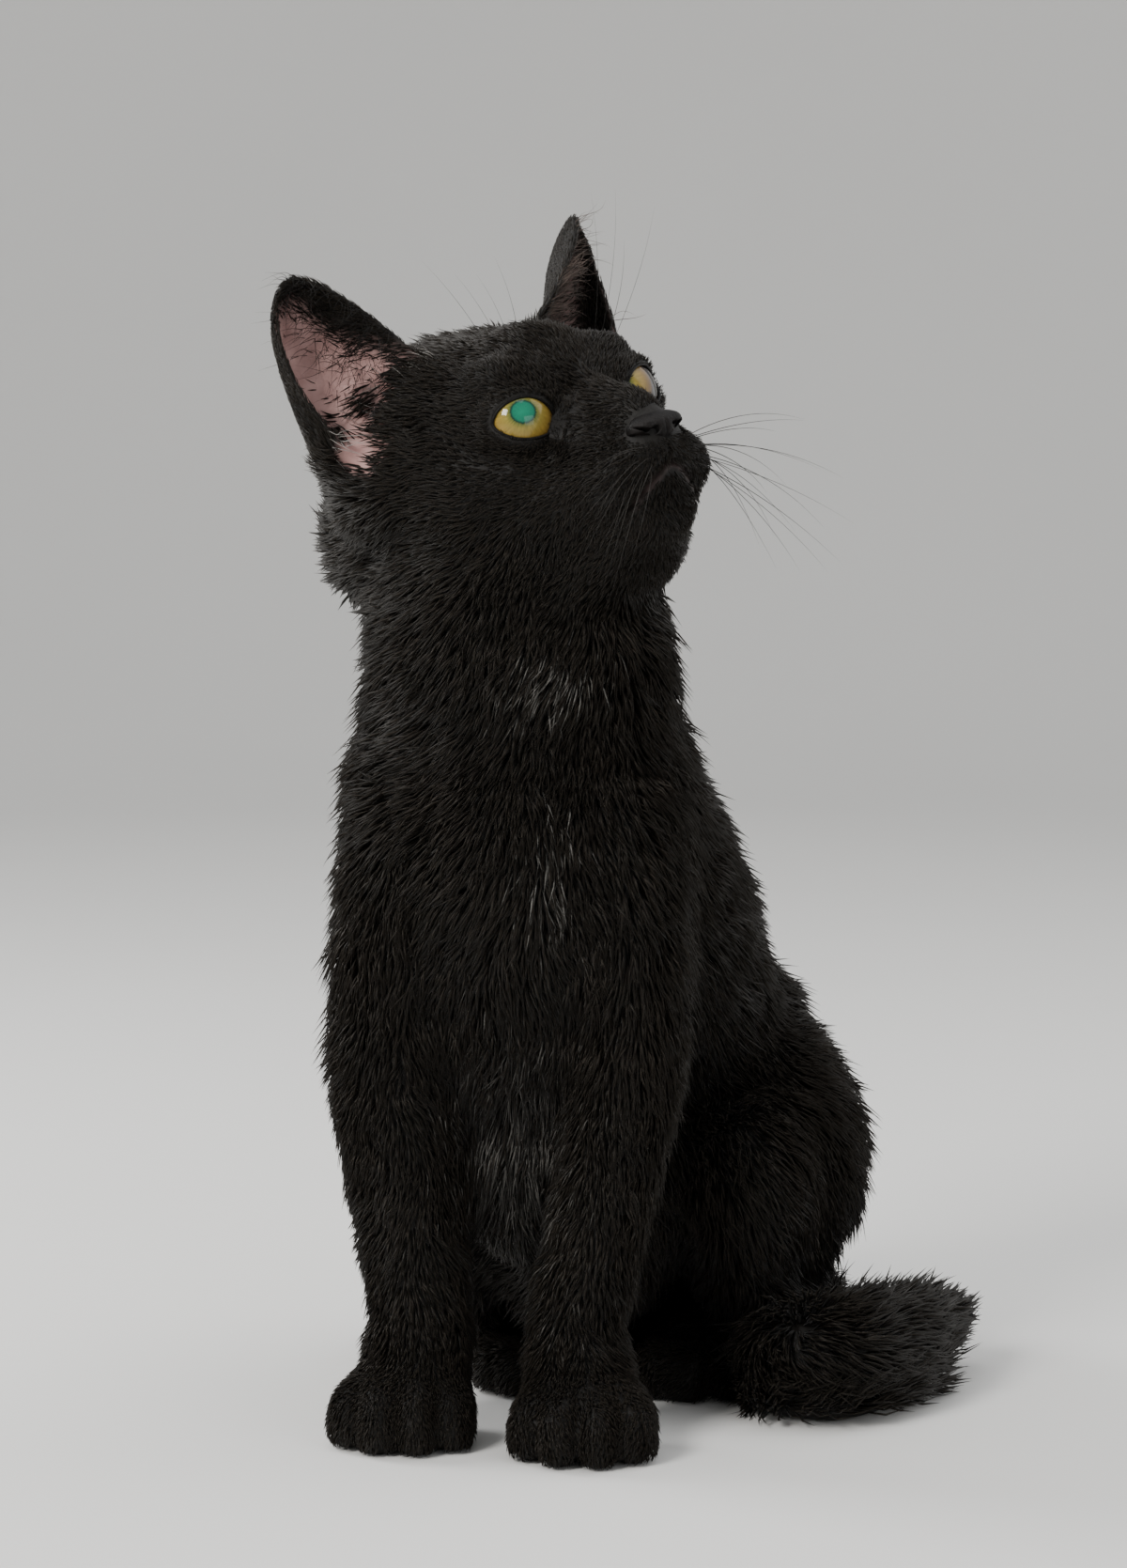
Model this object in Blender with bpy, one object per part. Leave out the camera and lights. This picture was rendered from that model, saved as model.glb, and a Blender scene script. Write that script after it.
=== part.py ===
"""A seated black kitten, life size, as a still museum model.

Blender script, metres, +Z up.  The kitten faces -Y and its left side is +X.  The outer form is that of
the coat.  The flesh is modelled whole, from lofted limbs and rounded masses that a remesh melts together,
and is then parted into named pieces with a thin gap between neighbours.  Ears, eyes, nose and tail are
solids of their own.
"""

import math

import bmesh
import bpy
from mathutils import Matrix, Vector

MM = 0.001

# Driving dimensions, in millimetres and degrees.
GAP = 0.3  # clearance between neighbouring pieces
VOXEL = 1.4  # grain of the remesh that melts the masses together
RING_POINTS = 28  # points round a lofted limb
STEPS_PER_STATION = 5  # rings between two stations of a loft
FIRST_TRIANGLES = 5200  # of the flesh, at an even density
FLESH_TRIANGLES = 3700  # of the flesh, thinned further below the neck
TAIL_TRIANGLES = 320

HEAD_CENTRE = Vector((0.6, 28.5, 233.6))  # middle of the skull
HEAD_YAW = 47.0  # the nose turned to its left
HEAD_PITCH = 15.0  # the nose raised
HEAD_ROLL = -11.0  # the top of the head leaning to its right
EYE_RADIUS = 9.6
EYE_CENTRE = Vector((16.4, -21.5, 3.8))  # of the left eyeball, in the head's own frame
EYE_OUTWARD = 17.0  # how far the left eye turns out
EYE_SLANT = 9.0  # how far its outer corner is raised
LIDS = (8.3, 5.0, 5.4)  # half width, depth and half height of the opening between the lids
NOSE_CENTRE = Vector((0.0, -49.3, -6.8))
NOSE_RADII = (8.0, 4.0, 4.7)
EAR_ROWS = 10
EAR_COLUMNS = 8
EAR_THICKNESS = 2.0
# Each ear's inner edge, back and outer edge as Bezier curves from its root to its tip, in the head's own
# frame as for a left ear.
EARS = {
    "right": (
        ((19, 1, 29), (24, 5, 38), (31, 10, 51.5), (38.5, 12, 53.5)),
        ((38, 22, 13), (34, 24, 28), (37, 20, 48), (38.5, 14, 52.5)),
        ((38, 6, 7), (54, 8, 20), (51.5, 15, 51.5), (38.5, 12, 53.5)),
    ),
    "left": (
        ((20, 0, 29), (31, -5, 38), (43.5, 1, 50), (48, 8, 51.5)),
        ((42, 20, 14), (38, 21, 30), (44.5, 17, 46), (48, 10, 50.5)),
        ((40, 3.5, 8), (52.5, 8, 20), (54, 14.5, 46), (48, 8, 51.5)),
    ),
}
LEG_DIVIDE = Vector((0.0, 30.0, 100.0))  # a point of the plane between the fore and the hind legs
LEG_DIVIDE_NORMAL = Vector((0.0, 1.0, -0.12)).normalized()
HIP_SHIFT = 19.0  # the rump sits this far to the kitten's left of the forefeet
FOREPAW_TOP = 24.0
HINDFOOT_TOP = 19.0
SMOOTH_ANGLE = 40.0  # edges sharper than this stay sharp

COAT_BLACK = (0.012, 0.010, 0.009)
EAR_PINK = (0.42, 0.24, 0.22)
EYE_AMBER = (0.62, 0.50, 0.12)
NOSE_BLACK = (0.020, 0.016, 0.016)


def clear_scene():
    for obj in list(bpy.data.objects):
        bpy.data.objects.remove(obj)


def material(name, colour, roughness):
    made = bpy.data.materials.new(name)
    made.use_nodes = True
    shader = made.node_tree.nodes["Principled BSDF"]
    shader.inputs["Base Color"].default_value = (*colour, 1.0)
    shader.inputs["Roughness"].default_value = roughness
    shader.inputs["Metallic"].default_value = 0.0
    return made


def new_object(name, mesh):
    obj = bpy.data.objects.new(name, mesh)
    bpy.context.scene.collection.objects.link(obj)
    return obj


def baked(obj):
    """The object with its mesh as its modifiers make it, and the modifiers gone."""
    graph = bpy.context.evaluated_depsgraph_get()
    mesh = bpy.data.meshes.new_from_object(obj.evaluated_get(graph))
    obj.modifiers.clear()
    obj.data = mesh
    return obj


def head_matrix():
    """From the head's own frame (x to its left, y backwards, z up, in millimetres) to the kitten's."""
    yaw = Matrix.Rotation(math.radians(HEAD_YAW), 4, "Z")
    pitch = Matrix.Rotation(math.radians(-HEAD_PITCH), 4, "X")
    roll = Matrix.Rotation(math.radians(HEAD_ROLL), 4, "Y")
    return Matrix.Translation(HEAD_CENTRE) @ yaw @ pitch @ roll


def blob(centre, radii, dip=0.0, place=None, segments=32):
    """A closed ellipsoid, its front dipped by an angle about X, and placed by a matrix."""
    made = bmesh.new()
    bmesh.ops.create_uvsphere(made, u_segments=segments, v_segments=segments // 2 + 1, radius=1.0)
    turn = Matrix.Rotation(math.radians(dip), 4, "X")
    matrix = Matrix.Translation(Vector(centre)) @ turn @ Matrix.Diagonal((*radii, 1.0))
    made.transform((place or Matrix.Identity(4)) @ matrix)
    return made


def spline(values, steps):
    """Catmull-Rom points through equal-length tuples, with the end values kept."""
    rows = [values[0], *values, values[-1]]
    found = []
    for before, start, end, after in zip(rows, rows[1:], rows[2:], rows[3:]):
        for i in range(steps):
            t = i / steps
            weights = (
                -t + 2 * t**2 - t**3,
                2 - 5 * t**2 + 3 * t**3,
                t + 4 * t**2 - 3 * t**3,
                t**3 - t**2,
            )
            found.append(
                tuple(
                    0.5 * sum(w * v for w, v in zip(weights, column))
                    for column in zip(before, start, end, after)
                )
            )
    found.append(tuple(values[-1]))
    return found


def loft(stations, side=Vector((1.0, 0.0, 0.0))):
    """A closed limb through stations (x, y, z, half width along side, half depth across it)."""
    rows = spline(stations, STEPS_PER_STATION)
    centres = [Vector(row[:3]) for row in rows]
    made = bmesh.new()
    rings = []
    for i, row in enumerate(rows):
        along = (centres[min(i + 1, len(rows) - 1)] - centres[max(i - 1, 0)]).normalized()
        width = (side - along * side.dot(along)).normalized()
        depth = along.cross(width)
        ring = []
        for k in range(RING_POINTS):
            angle = 2 * math.pi * k / RING_POINTS
            offset = width * (row[3] * math.cos(angle)) + depth * (row[4] * math.sin(angle))
            ring.append(made.verts.new(centres[i] + offset))
        rings.append(ring)
    for low, high in zip(rings, rings[1:]):
        for k in range(RING_POINTS):
            after = (k + 1) % RING_POINTS
            made.faces.new((low[k], low[after], high[after], high[k]))
    for ring in (rings[0], rings[-1]):
        made.faces.new(ring)
    bmesh.ops.recalc_face_normals(made, faces=made.faces)
    return made


def trunk_masses():
    """Rump, loin, ribs, shoulders, chest and neck."""
    spine = [
        # x, y, z, half width, half depth
        (HIP_SHIFT, 112, -3, 26, 20),
        (HIP_SHIFT, 111, 12, 40, 28),
        (HIP_SHIFT, 106, 34, 47, 34),
        (HIP_SHIFT, 96, 62, 46, 39),
        (HIP_SHIFT * 0.95, 80, 90, 42.5, 39),
        (HIP_SHIFT * 0.76, 60, 118, 41, 39),
        (HIP_SHIFT * 0.48, 42, 142, 38, 37),
        (3.5, 30, 164, 37.5, 34),
        (2, 24, 184, 38.5, 32),
        (1.5, 24, 202, 35, 30),
        (1.5, 28, 222, 28, 26),
    ]
    return [
        loft(spine),
        blob((2, 9, 134), (31, 23, 40)),  # chest
        blob((3, 20, 102), (27, 25, 30)),  # breastbone
        blob((12, 60, 60), (32, 33, 46), -18),  # belly
        blob((1.5, 27, 70), (17, 20, 34)),  # brisket between the forelegs
        blob((-17, 25, 152), (24, 26, 34)),  # right shoulder
        blob((19, 25, 148), (25, 26, 34)),  # left shoulder
    ]


def paw(x, y, width, length, toes):
    """A paw flat on the floor: its body, and four toes fanned round its front."""
    masses = [blob((x, y, 9), (width, length, 12))]
    for across, forward, radius in toes:
        masses.append(blob((x + across, y - forward, 7.5), (radius, 9, 8.8)))
    return masses


def foreleg_masses():
    right = [
        (-19, 24, 170, 6, 8),
        (-21, 21, 152, 17, 24),
        (-25, 16, 122, 17.5, 23),
        (-26.3, 12, 97, 16.5, 19),
        (-25.5, 9, 77, 15.8, 16.5),
        (-21.5, 6.5, 51, 14.3, 14),
        (-18.8, 4.5, 30, 13.2, 13),
        (-19.5, 3, 16, 13.5, 13.5),
        (-21, 1, 6, 13.5, 14),
    ]
    left = [
        (22, 24, 170, 6, 8),
        (26, 21, 152, 16, 24),
        (29, 15, 122, 16.5, 23),
        (30, 11, 97, 15, 19),
        (28.5, 8, 77, 14, 16),
        (23.5, 4, 51, 13, 13.5),
        (18.8, 1, 30, 12.6, 12.5),
        (20, -2, 16, 13.5, 13),
        (22, -4, 6, 13.5, 14),
    ]
    toes = ((-12.6, 6, 5.6), (-4.6, 11, 6.6), (4.6, 11, 6.6), (12.6, 6, 5.6))
    masses = [loft(right), loft(left)]
    masses += paw(-21.5, -1, 16.5, 17, toes)
    masses += paw(22.3, -7, 17.0, 17, toes)
    return masses


def hindleg_masses(sign):
    def at(x):
        return HIP_SHIFT + sign * x

    shank = [
        (at(36), 48, 44, 14, 17),
        (at(36), 66, 30, 16, 18),
        (at(30), 94, 16, 14, 15),
        (at(24), 112, 9, 12, 11),
    ]
    foot = [
        (at(22), 118, 8.5, 10, 10),
        (at(21), 98, 8.5, 11, 10),
        (at(20), 78, 8.5, 12, 10),
        (at(20), 60, 8.5, 12, 10),
    ]
    masses = [
        blob((at(34), 82, 55), (29, 42, 36), 18),  # thigh
        blob((at(36), 50, 52), (18, 19, 26), 12),  # knee
        blob((at(25), 96, 82), (23, 27, 23), 0),  # hip
        loft(shank),
        loft(foot),
    ]
    for across, forward, radius in ((-8.6, 53, 5.2), (-3.0, 49, 5.8), (3.0, 49, 5.8), (8.6, 53, 5.2)):
        masses.append(blob((at(20) + across, forward, 7), (radius, 8.5, 8)))
    return masses


def head_masses():
    """The head in its own frame: x to its left, y backwards, z up."""
    profile = [
        # x, y, z, half width, half height
        (0, -51.5, -7.3, 4.5, 4.5),
        (0, -48.4, -10.3, 9.8, 9.2),
        (0, -43.4, -11.8, 14.4, 13.2),
        (0, -36.8, -11.0, 15.8, 15.5),
        (0, -30, -8.5, 18, 16.5),
        (0, -24, -5.5, 22, 19),
        (0, -17, -2.5, 28, 25),
        (0, -8, -1.5, 35.5, 28.5),
        (0, 2, -0.5, 38.5, 30.5),
        (0, 13, 0.5, 39, 31.5),
        (0, 25, 1.5, 36.5, 30.5),
        (0, 37, 2.5, 29, 26),
        (0, 46, 2.5, 18, 17),
        (0, 50, 2.5, 5, 5),
    ]
    place = head_matrix()
    skull = loft(profile)
    skull.transform(place)
    masses = [
        skull,
        blob((0, -35.3, 0.3), (8.2, 17, 7.6), 20, place),  # bridge of the nose
        blob((0, -14, 14), (17, 14, 14), 0, place),  # forehead
        blob((0, -38.2, -25.5), (12.5, 11, 9.5), 0, place),  # chin
        blob((0, -16, -16), (29, 26, 19), 0, place),  # jaw
        blob((0, -14, -27), (24, 26, 18), 10, place),  # throat
        blob((-1.5, 33.5, -11), (35, 23.5, 25), 0, place),  # nape
        blob((-11, 38, 211), (33, 26, 24)),  # scruff
    ]
    for sign in (1, -1):
        masses.append(blob((sign * 24, 0, -10), (14.5, 22, 18), 0, place))  # cheek
        masses.append(blob((sign * 33, 13, 2), (12, 18, 16), 0, place))  # root of the ear
        masses.append(blob((sign * 9.0, -40.4, -16.4), (10.4, 9.8, 9.3), 0, place))  # whisker pad
        masses.append(blob((sign * 16.2, -19.8, 14.5), (9.6, 8, 6.8), 0, place))  # brow
        masses.append(blob((sign * 20.5, -20.5, -8), (9, 9, 7), 0, place))  # cheekbone
    return masses


def tail_masses():
    stations = [
        # x, y, z, half height, half width
        (18, 126, 16.6, 11, 11),
        (40, 126, 12.6, 12, 12),
        (57, 110, 11.6, 12.5, 13),
        (63, 84, 12.6, 13.5, 13.5),
        (63, 55, 13.6, 14.5, 14.5),
        (66, 38, 14.6, 15.5, 15.5),
        (76.5, 37, 15.2, 16, 16),
        (85.5, 53, 15, 15, 15),
        (92, 71, 14.2, 12.5, 12.5),
        (98, 86, 14.2, 8.5, 8.5),
        (103, 97, 15, 3.5, 3.5),
    ]
    return [loft(stations, Vector((0.0, 0.0, 1.0)))]


def bezier(points, t):
    a, b, c, d = points
    return a * (1 - t) ** 3 + b * (3 * t * (1 - t) ** 2) + c * (3 * t**2 * (1 - t)) + d * t**3


def ear_shell(sign, edges):
    """The ear as an open sheet in the kitten's frame: half-tube sections between its inner and outer edge."""
    edges = [[Vector(point) for point in edge] for edge in edges]
    made = bmesh.new()
    grid = []
    for i in range(EAR_ROWS):
        rise = -0.16 + 1.14 * i / (EAR_ROWS - 1)
        inside, behind, outside = (bezier(e, rise) if rise > 0 else e[0].lerp(e[1], rise * 3) for e in edges)
        middle = (inside + outside) / 2
        line = []
        for k in range(EAR_COLUMNS):
            angle = math.pi * (k / (EAR_COLUMNS - 1) - 0.5)
            across = (outside - inside) * (0.5 * math.sin(angle))
            point = middle + across + (behind - middle) * math.cos(angle)
            line.append(made.verts.new((point.x * sign, point.y, point.z)))
        grid.append(line)
    for low, high in zip(grid, grid[1:]):
        for k in range(EAR_COLUMNS - 1):
            made.faces.new((low[k], low[k + 1], high[k + 1], high[k]))
    apex = made.verts.new(edges[0][3] * 1.0)
    apex.co.x *= sign
    for k in range(EAR_COLUMNS - 1):
        made.faces.new((grid[-1][k], grid[-1][k + 1], apex))
    made.transform(head_matrix())
    return made


def joined(name, masses):
    """One mesh object, in metres, that holds every mass as its own closed shell."""
    whole = bmesh.new()
    for mass in masses:
        mesh = bpy.data.meshes.new("mass")
        mass.to_mesh(mesh)
        mass.free()
        whole.from_mesh(mesh)
        bpy.data.meshes.remove(mesh)
    whole.transform(Matrix.Scale(MM, 4))
    mesh = bpy.data.meshes.new(name)
    whole.to_mesh(mesh)
    whole.free()
    return new_object(name, mesh)


def melted(obj, smoothing):
    """Remesh joins the shells into one skin, and smoothing rounds the creases between them."""
    remesh = obj.modifiers.new("melt", "REMESH")
    remesh.mode = "VOXEL"
    remesh.voxel_size = VOXEL * MM
    smooth = obj.modifiers.new("round", "SMOOTH")
    smooth.factor = 0.5
    smooth.iterations = smoothing
    return baked(obj)


def softened(obj, low, high, iterations):
    """Rounds the flesh further between two heights, where it lies under the longest coat."""
    group = obj.vertex_groups.new(name="soft")
    for vertex in obj.data.vertices:
        height = vertex.co.z / MM
        weight = min(1.0, max(0.0, (height - low) / 12.0), max(0.0, (high - height) / 12.0))
        group.add([vertex.index], weight, "REPLACE")
    smooth = obj.modifiers.new("soften", "SMOOTH")
    smooth.factor = 0.5
    smooth.iterations = iterations
    smooth.vertex_group = group.name
    return baked(obj)


def thinned(obj, triangles, spared_above=None):
    """Decimate leaves a share of the triangles, and can spare all that lies above a height."""
    thin = obj.modifiers.new("thin", "DECIMATE")
    obj.data.calc_loop_triangles()
    thin.ratio = triangles / len(obj.data.loop_triangles)
    if spared_above is not None:
        group = obj.vertex_groups.new(name="thin")
        for vertex in obj.data.vertices:
            height = vertex.co.z / MM
            weight = 0.8 if height < FOREPAW_TOP else min(1.0, max(0.0, (spared_above - height) / 10.0))
            group.add([vertex.index], weight, "REPLACE")
        thin.vertex_group = group.name
        thin.vertex_group_factor = 1.0
    return baked(obj)


def bisected(mesh, point, normal):
    """What lies on the far side of a plane from its normal, closed at the cut (point in millimetres)."""
    cut = bmesh.new()
    cut.from_mesh(mesh)
    geometry = cut.verts[:] + cut.edges[:] + cut.faces[:]
    bmesh.ops.bisect_plane(cut, geom=geometry, plane_co=Vector(point) * MM, plane_no=normal, clear_outer=True)
    rim = [edge for edge in cut.edges if edge.is_boundary]
    bmesh.ops.holes_fill(cut, edges=rim, sides=0)
    bmesh.ops.recalc_face_normals(cut, faces=cut.faces)
    made = bpy.data.meshes.new("half")
    cut.to_mesh(made)
    cut.free()
    return made


def parted(obj, near, far, point, normal):
    """Cuts the object in two by a plane with a thin gap; far names the piece on the normal's side."""
    normal = Vector(normal).normalized()
    half = normal * (GAP / 2)
    point = Vector(point)
    beyond = new_object(far, bisected(obj.data, point + half, -normal))
    obj.data = bisected(obj.data, point - half, normal)
    obj.name = near
    return obj, beyond


def region(name, planes, grow=0.0):
    """A convex cutter: the inner side of every plane (point, outward normal), grown by a margin."""
    block = bpy.data.meshes.new(name)
    box = bmesh.new()
    bmesh.ops.create_cube(box, size=0.8)
    box.to_mesh(block)
    box.free()
    for point, normal in planes:
        normal = Vector(normal).normalized()
        block = bisected(block, Vector(point) + normal * grow, normal)
    cutter = new_object(name, block)
    cutter.hide_render = True
    cutter.display_type = "WIRE"
    return cutter


def cut_by(obj, cutter, operation):
    cut = obj.modifiers.new("cut", "BOOLEAN")
    cut.operation = operation
    cut.solver = "EXACT"
    cut.object = cutter
    return baked(obj)


def taken_off(obj, name, planes):
    """Parts a limb from the body: what lies within the planes becomes a piece of its own."""
    inside = region(f"{name}_region", planes)
    outside = region(f"{name}_margin", planes, GAP)
    limb = new_object(name, obj.data.copy())
    cut_by(limb, inside, "INTERSECT")
    cut_by(obj, outside, "DIFFERENCE")
    bpy.data.objects.remove(inside)
    bpy.data.objects.remove(outside)
    return limb


def swollen(obj, by):
    """A hidden copy of the object, grown along its normals, to cut its neighbours with."""
    copy = new_object(f"{obj.name}_margin", obj.data.copy())
    grow = copy.modifiers.new("grow", "DISPLACE")
    grow.strength = by * MM
    grow.mid_level = 0.0
    baked(copy)
    copy.hide_render = True
    copy.display_type = "WIRE"
    return copy


def largest_body(obj):
    """Keeps the object's largest connected piece."""
    mesh = bmesh.new()
    mesh.from_mesh(obj.data)
    left = set(mesh.verts)
    bodies = []
    while left:
        front = [left.pop()]
        body = set(front)
        while front:
            vertex = front.pop()
            for edge in vertex.link_edges:
                other = edge.other_vert(vertex)
                if other in left:
                    left.discard(other)
                    body.add(other)
                    front.append(other)
        bodies.append(body)
    keep = max(bodies, key=len)
    bmesh.ops.delete(mesh, geom=[v for v in mesh.verts if v not in keep], context="VERTS")
    mesh.to_mesh(obj.data)
    mesh.free()


def eye_frame(sign):
    """The frame of one eye, its y axis pointing back from the pupil."""
    spot = Vector((EYE_CENTRE.x * sign, EYE_CENTRE.y, EYE_CENTRE.z))
    outward = Matrix.Rotation(math.radians(EYE_OUTWARD * sign), 4, "Z")
    slant = Matrix.Rotation(math.radians(-EYE_SLANT * sign), 4, "Y")
    return head_matrix() @ Matrix.Translation(spot) @ outward @ slant


def hidden(obj):
    obj.hide_render = True
    obj.display_type = "WIRE"
    return obj


def face_cut(head):
    """Opens the sockets and seats the nose pad: cuts the head round the eyes and the nose."""
    place = head_matrix()
    pad = Vector(NOSE_RADII) + Vector((GAP, GAP, GAP))
    cutters = [blob(NOSE_CENTRE, pad, 0, place, 14)]
    for sign in (1, -1):
        frame = eye_frame(sign)
        cutters.append(blob((0, 0, 0), (EYE_RADIUS + GAP,) * 3, 0, frame, 16))
        cutters.append(blob((0, 1.2 - EYE_RADIUS, 0), LIDS, 0, frame, 16))
    for i, mass in enumerate(cutters):
        cutter = hidden(joined(f"face_cutter_{i}", [mass]))
        cut_by(head, cutter, "DIFFERENCE")
        bpy.data.objects.remove(cutter)


def forelimb_planes(sign, inner):
    """The region of a foreleg: below the shoulder, outside the breast and in front of the ribs."""
    return [
        ((0, 0, 103), (0.35 * sign, -0.25, 1)),
        ((inner, 0, 60), (-sign, 0, 0.15)),
        (LEG_DIVIDE, LEG_DIVIDE_NORMAL),
    ]


def hindlimb_planes(sign):
    """The region of a hind leg: beside the belly, below the hip and behind the foreleg."""
    return [
        ((HIP_SHIFT + sign * 4.5, 0, 0), (-sign, 0, 0.1)),
        ((HIP_SHIFT + sign * 40, 70, 96), (sign * 0.25, 0.25, 1)),
        ((0, 128, 0), (0, 1, -0.12)),
        (LEG_DIVIDE + LEG_DIVIDE_NORMAL * GAP, -LEG_DIVIDE_NORMAL),
    ]


def body_parted(body):
    """Parts the legs from the trunk, the paws from the legs, and the trunk along its length."""
    for sign, side, inner in ((1, "left", 8), (-1, "right", -5)):
        limb = taken_off(body, "limb", forelimb_planes(sign, inner))
        parted(limb, f"forepaw_{side}", f"foreleg_{side}", (0, 0, FOREPAW_TOP), (0, -0.2, 1))
        limb = taken_off(body, "limb", hindlimb_planes(sign))
        parted(limb, f"hindfoot_{side}", f"thigh_{side}", (0, 70, HINDFOOT_TOP), (0, -0.05, 1))
    trunk, _ = parted(body, "trunk", "neck", (0, 20, 170), (0, -0.3, 1))
    _, back = parted(trunk, "chest", "back", (0, 44, 110), (0.15, 1, 0.25))
    parted(back, "barrel", "rump", (0, 84, 80), (0.2, 1, 0.1))


def tail_made(margin):
    """The tail, trimmed where it passes under the thigh, in three lengths."""
    tail = thinned(melted(joined("tail", tail_masses()), 4), TAIL_TRIANGLES)
    tail.data = bisected(tail.data, (0, 0, 0), (0, 0, -1))
    cut_by(tail, margin, "DIFFERENCE")
    largest_body(tail)
    first, _ = parted(tail, "tail_part", "tail_end", (72, 0, 0), (1, 0, 0))
    parted(first, "tail_middle", "tail_root", (0, 101, 0), (0, 1, 0))


def ears_made(margin):
    """The ears, trimmed where they grow out of the head."""
    for sign, side in ((1, "left"), (-1, "right")):
        ear = joined(f"ear_{side}", [ear_shell(sign, EARS[side])])
        thick = ear.modifiers.new("thickness", "SOLIDIFY")
        thick.thickness = EAR_THICKNESS * MM
        thick.offset = 0.0
        baked(ear)
        cut_by(ear, margin, "DIFFERENCE")
        largest_body(ear)


def centred(objects):
    """Moves the model so that the middle of its footprint's box is the origin."""
    corners = [vertex.co for obj in objects for vertex in obj.data.vertices]
    middle = [(min(c[i] for c in corners) + max(c[i] for c in corners)) / 2 for i in range(2)]
    shift = Vector((-middle[0], -middle[1], -min(c[2] for c in corners)))
    for obj in objects:
        obj.data.transform(Matrix.Translation(shift))
    return shift


def main():
    clear_scene()
    masses = trunk_masses() + foreleg_masses() + hindleg_masses(1) + hindleg_masses(-1) + head_masses()
    flesh = melted(joined("flesh", masses), 11)
    softened(flesh, 30, 205, 40)
    softened(flesh, 196, 300, 9)
    thinned(flesh, FIRST_TRIANGLES)
    thinned(flesh, FLESH_TRIANGLES, 204)
    flesh.data = bisected(flesh.data, (0, 0, 0), (0, 0, -1))

    margin = hidden(swollen(flesh, GAP))
    tail_made(margin)
    ears_made(margin)
    bpy.data.objects.remove(margin)

    body, head = parted(flesh, "body", "head", (0, 20, 203), (0.05, -0.16, 1))
    face_cut(head)
    body_parted(body)
    joined("nose", [blob(NOSE_CENTRE, NOSE_RADII, 0, head_matrix(), 14)])
    for sign, side in ((1, "left"), (-1, "right")):
        joined(f"eye_{side}", [blob((0, 0, 0), (EYE_RADIUS,) * 3, 0, eye_frame(sign), 16)])

    finishes = {"ear": (EAR_PINK, 0.7), "eye": (EYE_AMBER, 0.1), "nose": (NOSE_BLACK, 0.45)}
    objects = list(bpy.data.objects)
    for obj in objects:
        colour, roughness = finishes.get(obj.name.split("_")[0], (COAT_BLACK, 0.8))
        obj.data.materials.clear()
        obj.data.materials.append(material(f"{obj.name}_surface", colour, roughness))
        obj.data.shade_smooth()
        obj.data.set_sharp_from_angle(angle=math.radians(SMOOTH_ANGLE))
    return centred(objects)


if __name__ == "__main__":
    main()
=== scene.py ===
import contextlib
import heapq
import math

import bmesh
import bpy
import numpy as np
from mathutils import Matrix, Vector
from mathutils.bvhtree import BVHTree


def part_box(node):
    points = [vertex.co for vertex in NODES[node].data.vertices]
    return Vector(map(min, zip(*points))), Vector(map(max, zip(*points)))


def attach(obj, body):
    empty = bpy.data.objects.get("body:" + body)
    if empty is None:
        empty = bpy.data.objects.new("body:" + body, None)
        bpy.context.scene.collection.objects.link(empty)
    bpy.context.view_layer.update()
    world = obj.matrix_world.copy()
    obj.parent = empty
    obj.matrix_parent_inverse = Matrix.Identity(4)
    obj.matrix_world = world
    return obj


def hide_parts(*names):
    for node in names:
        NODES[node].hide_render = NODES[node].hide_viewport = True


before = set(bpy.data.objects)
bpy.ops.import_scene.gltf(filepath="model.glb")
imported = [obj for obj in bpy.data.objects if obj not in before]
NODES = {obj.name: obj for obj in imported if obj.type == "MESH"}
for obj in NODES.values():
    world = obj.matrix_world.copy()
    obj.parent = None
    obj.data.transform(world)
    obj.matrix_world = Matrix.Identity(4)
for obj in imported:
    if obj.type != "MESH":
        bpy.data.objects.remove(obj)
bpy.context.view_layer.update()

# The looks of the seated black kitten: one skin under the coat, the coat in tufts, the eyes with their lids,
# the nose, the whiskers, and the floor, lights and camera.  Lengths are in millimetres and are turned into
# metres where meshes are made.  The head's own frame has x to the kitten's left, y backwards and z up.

MM = 0.001
FLESH = sorted(name for name in NODES if not name.startswith(("eye", "nose")))
KIND = {name: name.split("_")[0] for name in NODES}
KINDS = np.array([KIND[name] for name in FLESH])
SIDES = (1, -1)  # the kitten's left, then its right
RNG = np.random.default_rng(11)

# Where part.py sets the eyes and the nose in the head's own frame.
EYE_AT = Vector((16.4, -21.5, 3.8))
EYE_RADIUS = 9.6
EYE_OUTWARD = 17
EYE_SLANT = 9
NOSE_AT = Vector((0, -49.3, -6.8))
NOSE_RADII = (8, 4, 4.7)

VOXEL = 1
SEAM_GROWTH = 0.35  # closes the gaps between neighbouring nodes
TAIL_ROOT_GROWTH = 1.2
TAIL_CLEARANCE = 1.3  # keeps the tail's skin off the thigh's
TAIL_TIP_HEIGHT = 15
SKIN_LEAST_HEIGHT = 0.15
TUFT_LEAST_HEIGHT = 0.25
SKIN_TRIANGLES = 165000
GUIDE_TRIANGLES = 14000  # of the coarse copy of the skin that carries the lie of the coat and the coat's maps

# Coat depth, tuft length, tuft width in millimetres and tufts for each square millimetre.
COATS = {
    "barrel": (4.6, 9.5, 0.62, 1.05),
    "rump": (4.8, 10, 0.62, 1.05),
    "chest": (4.3, 9, 0.60, 1.10),
    "neck": (4.4, 8.5, 0.60, 1.15),
    "thigh": (4.4, 9, 0.60, 1.05),
    "foreleg": (2.5, 6, 0.52, 1.35),
    "forepaw": (1.1, 3, 0.40, 2.2),
    "hindfoot": (1.3, 3.4, 0.42, 2),
    "tail": (5.6, 10.5, 0.70, 1),
    "ear": (0.35, 2.2, 0.30, 2.4),
    "head": (2, 4.5, 0.42, 1.9),
}
HEAD_POWERS = (1, 0.8, 0.5, -0.45)  # how each of these follows the depth over the head
ROUNDING = {"ear": 0.12, "forepaw": 0.3, "hindfoot": 0.3, "head": 0.42}
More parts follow.
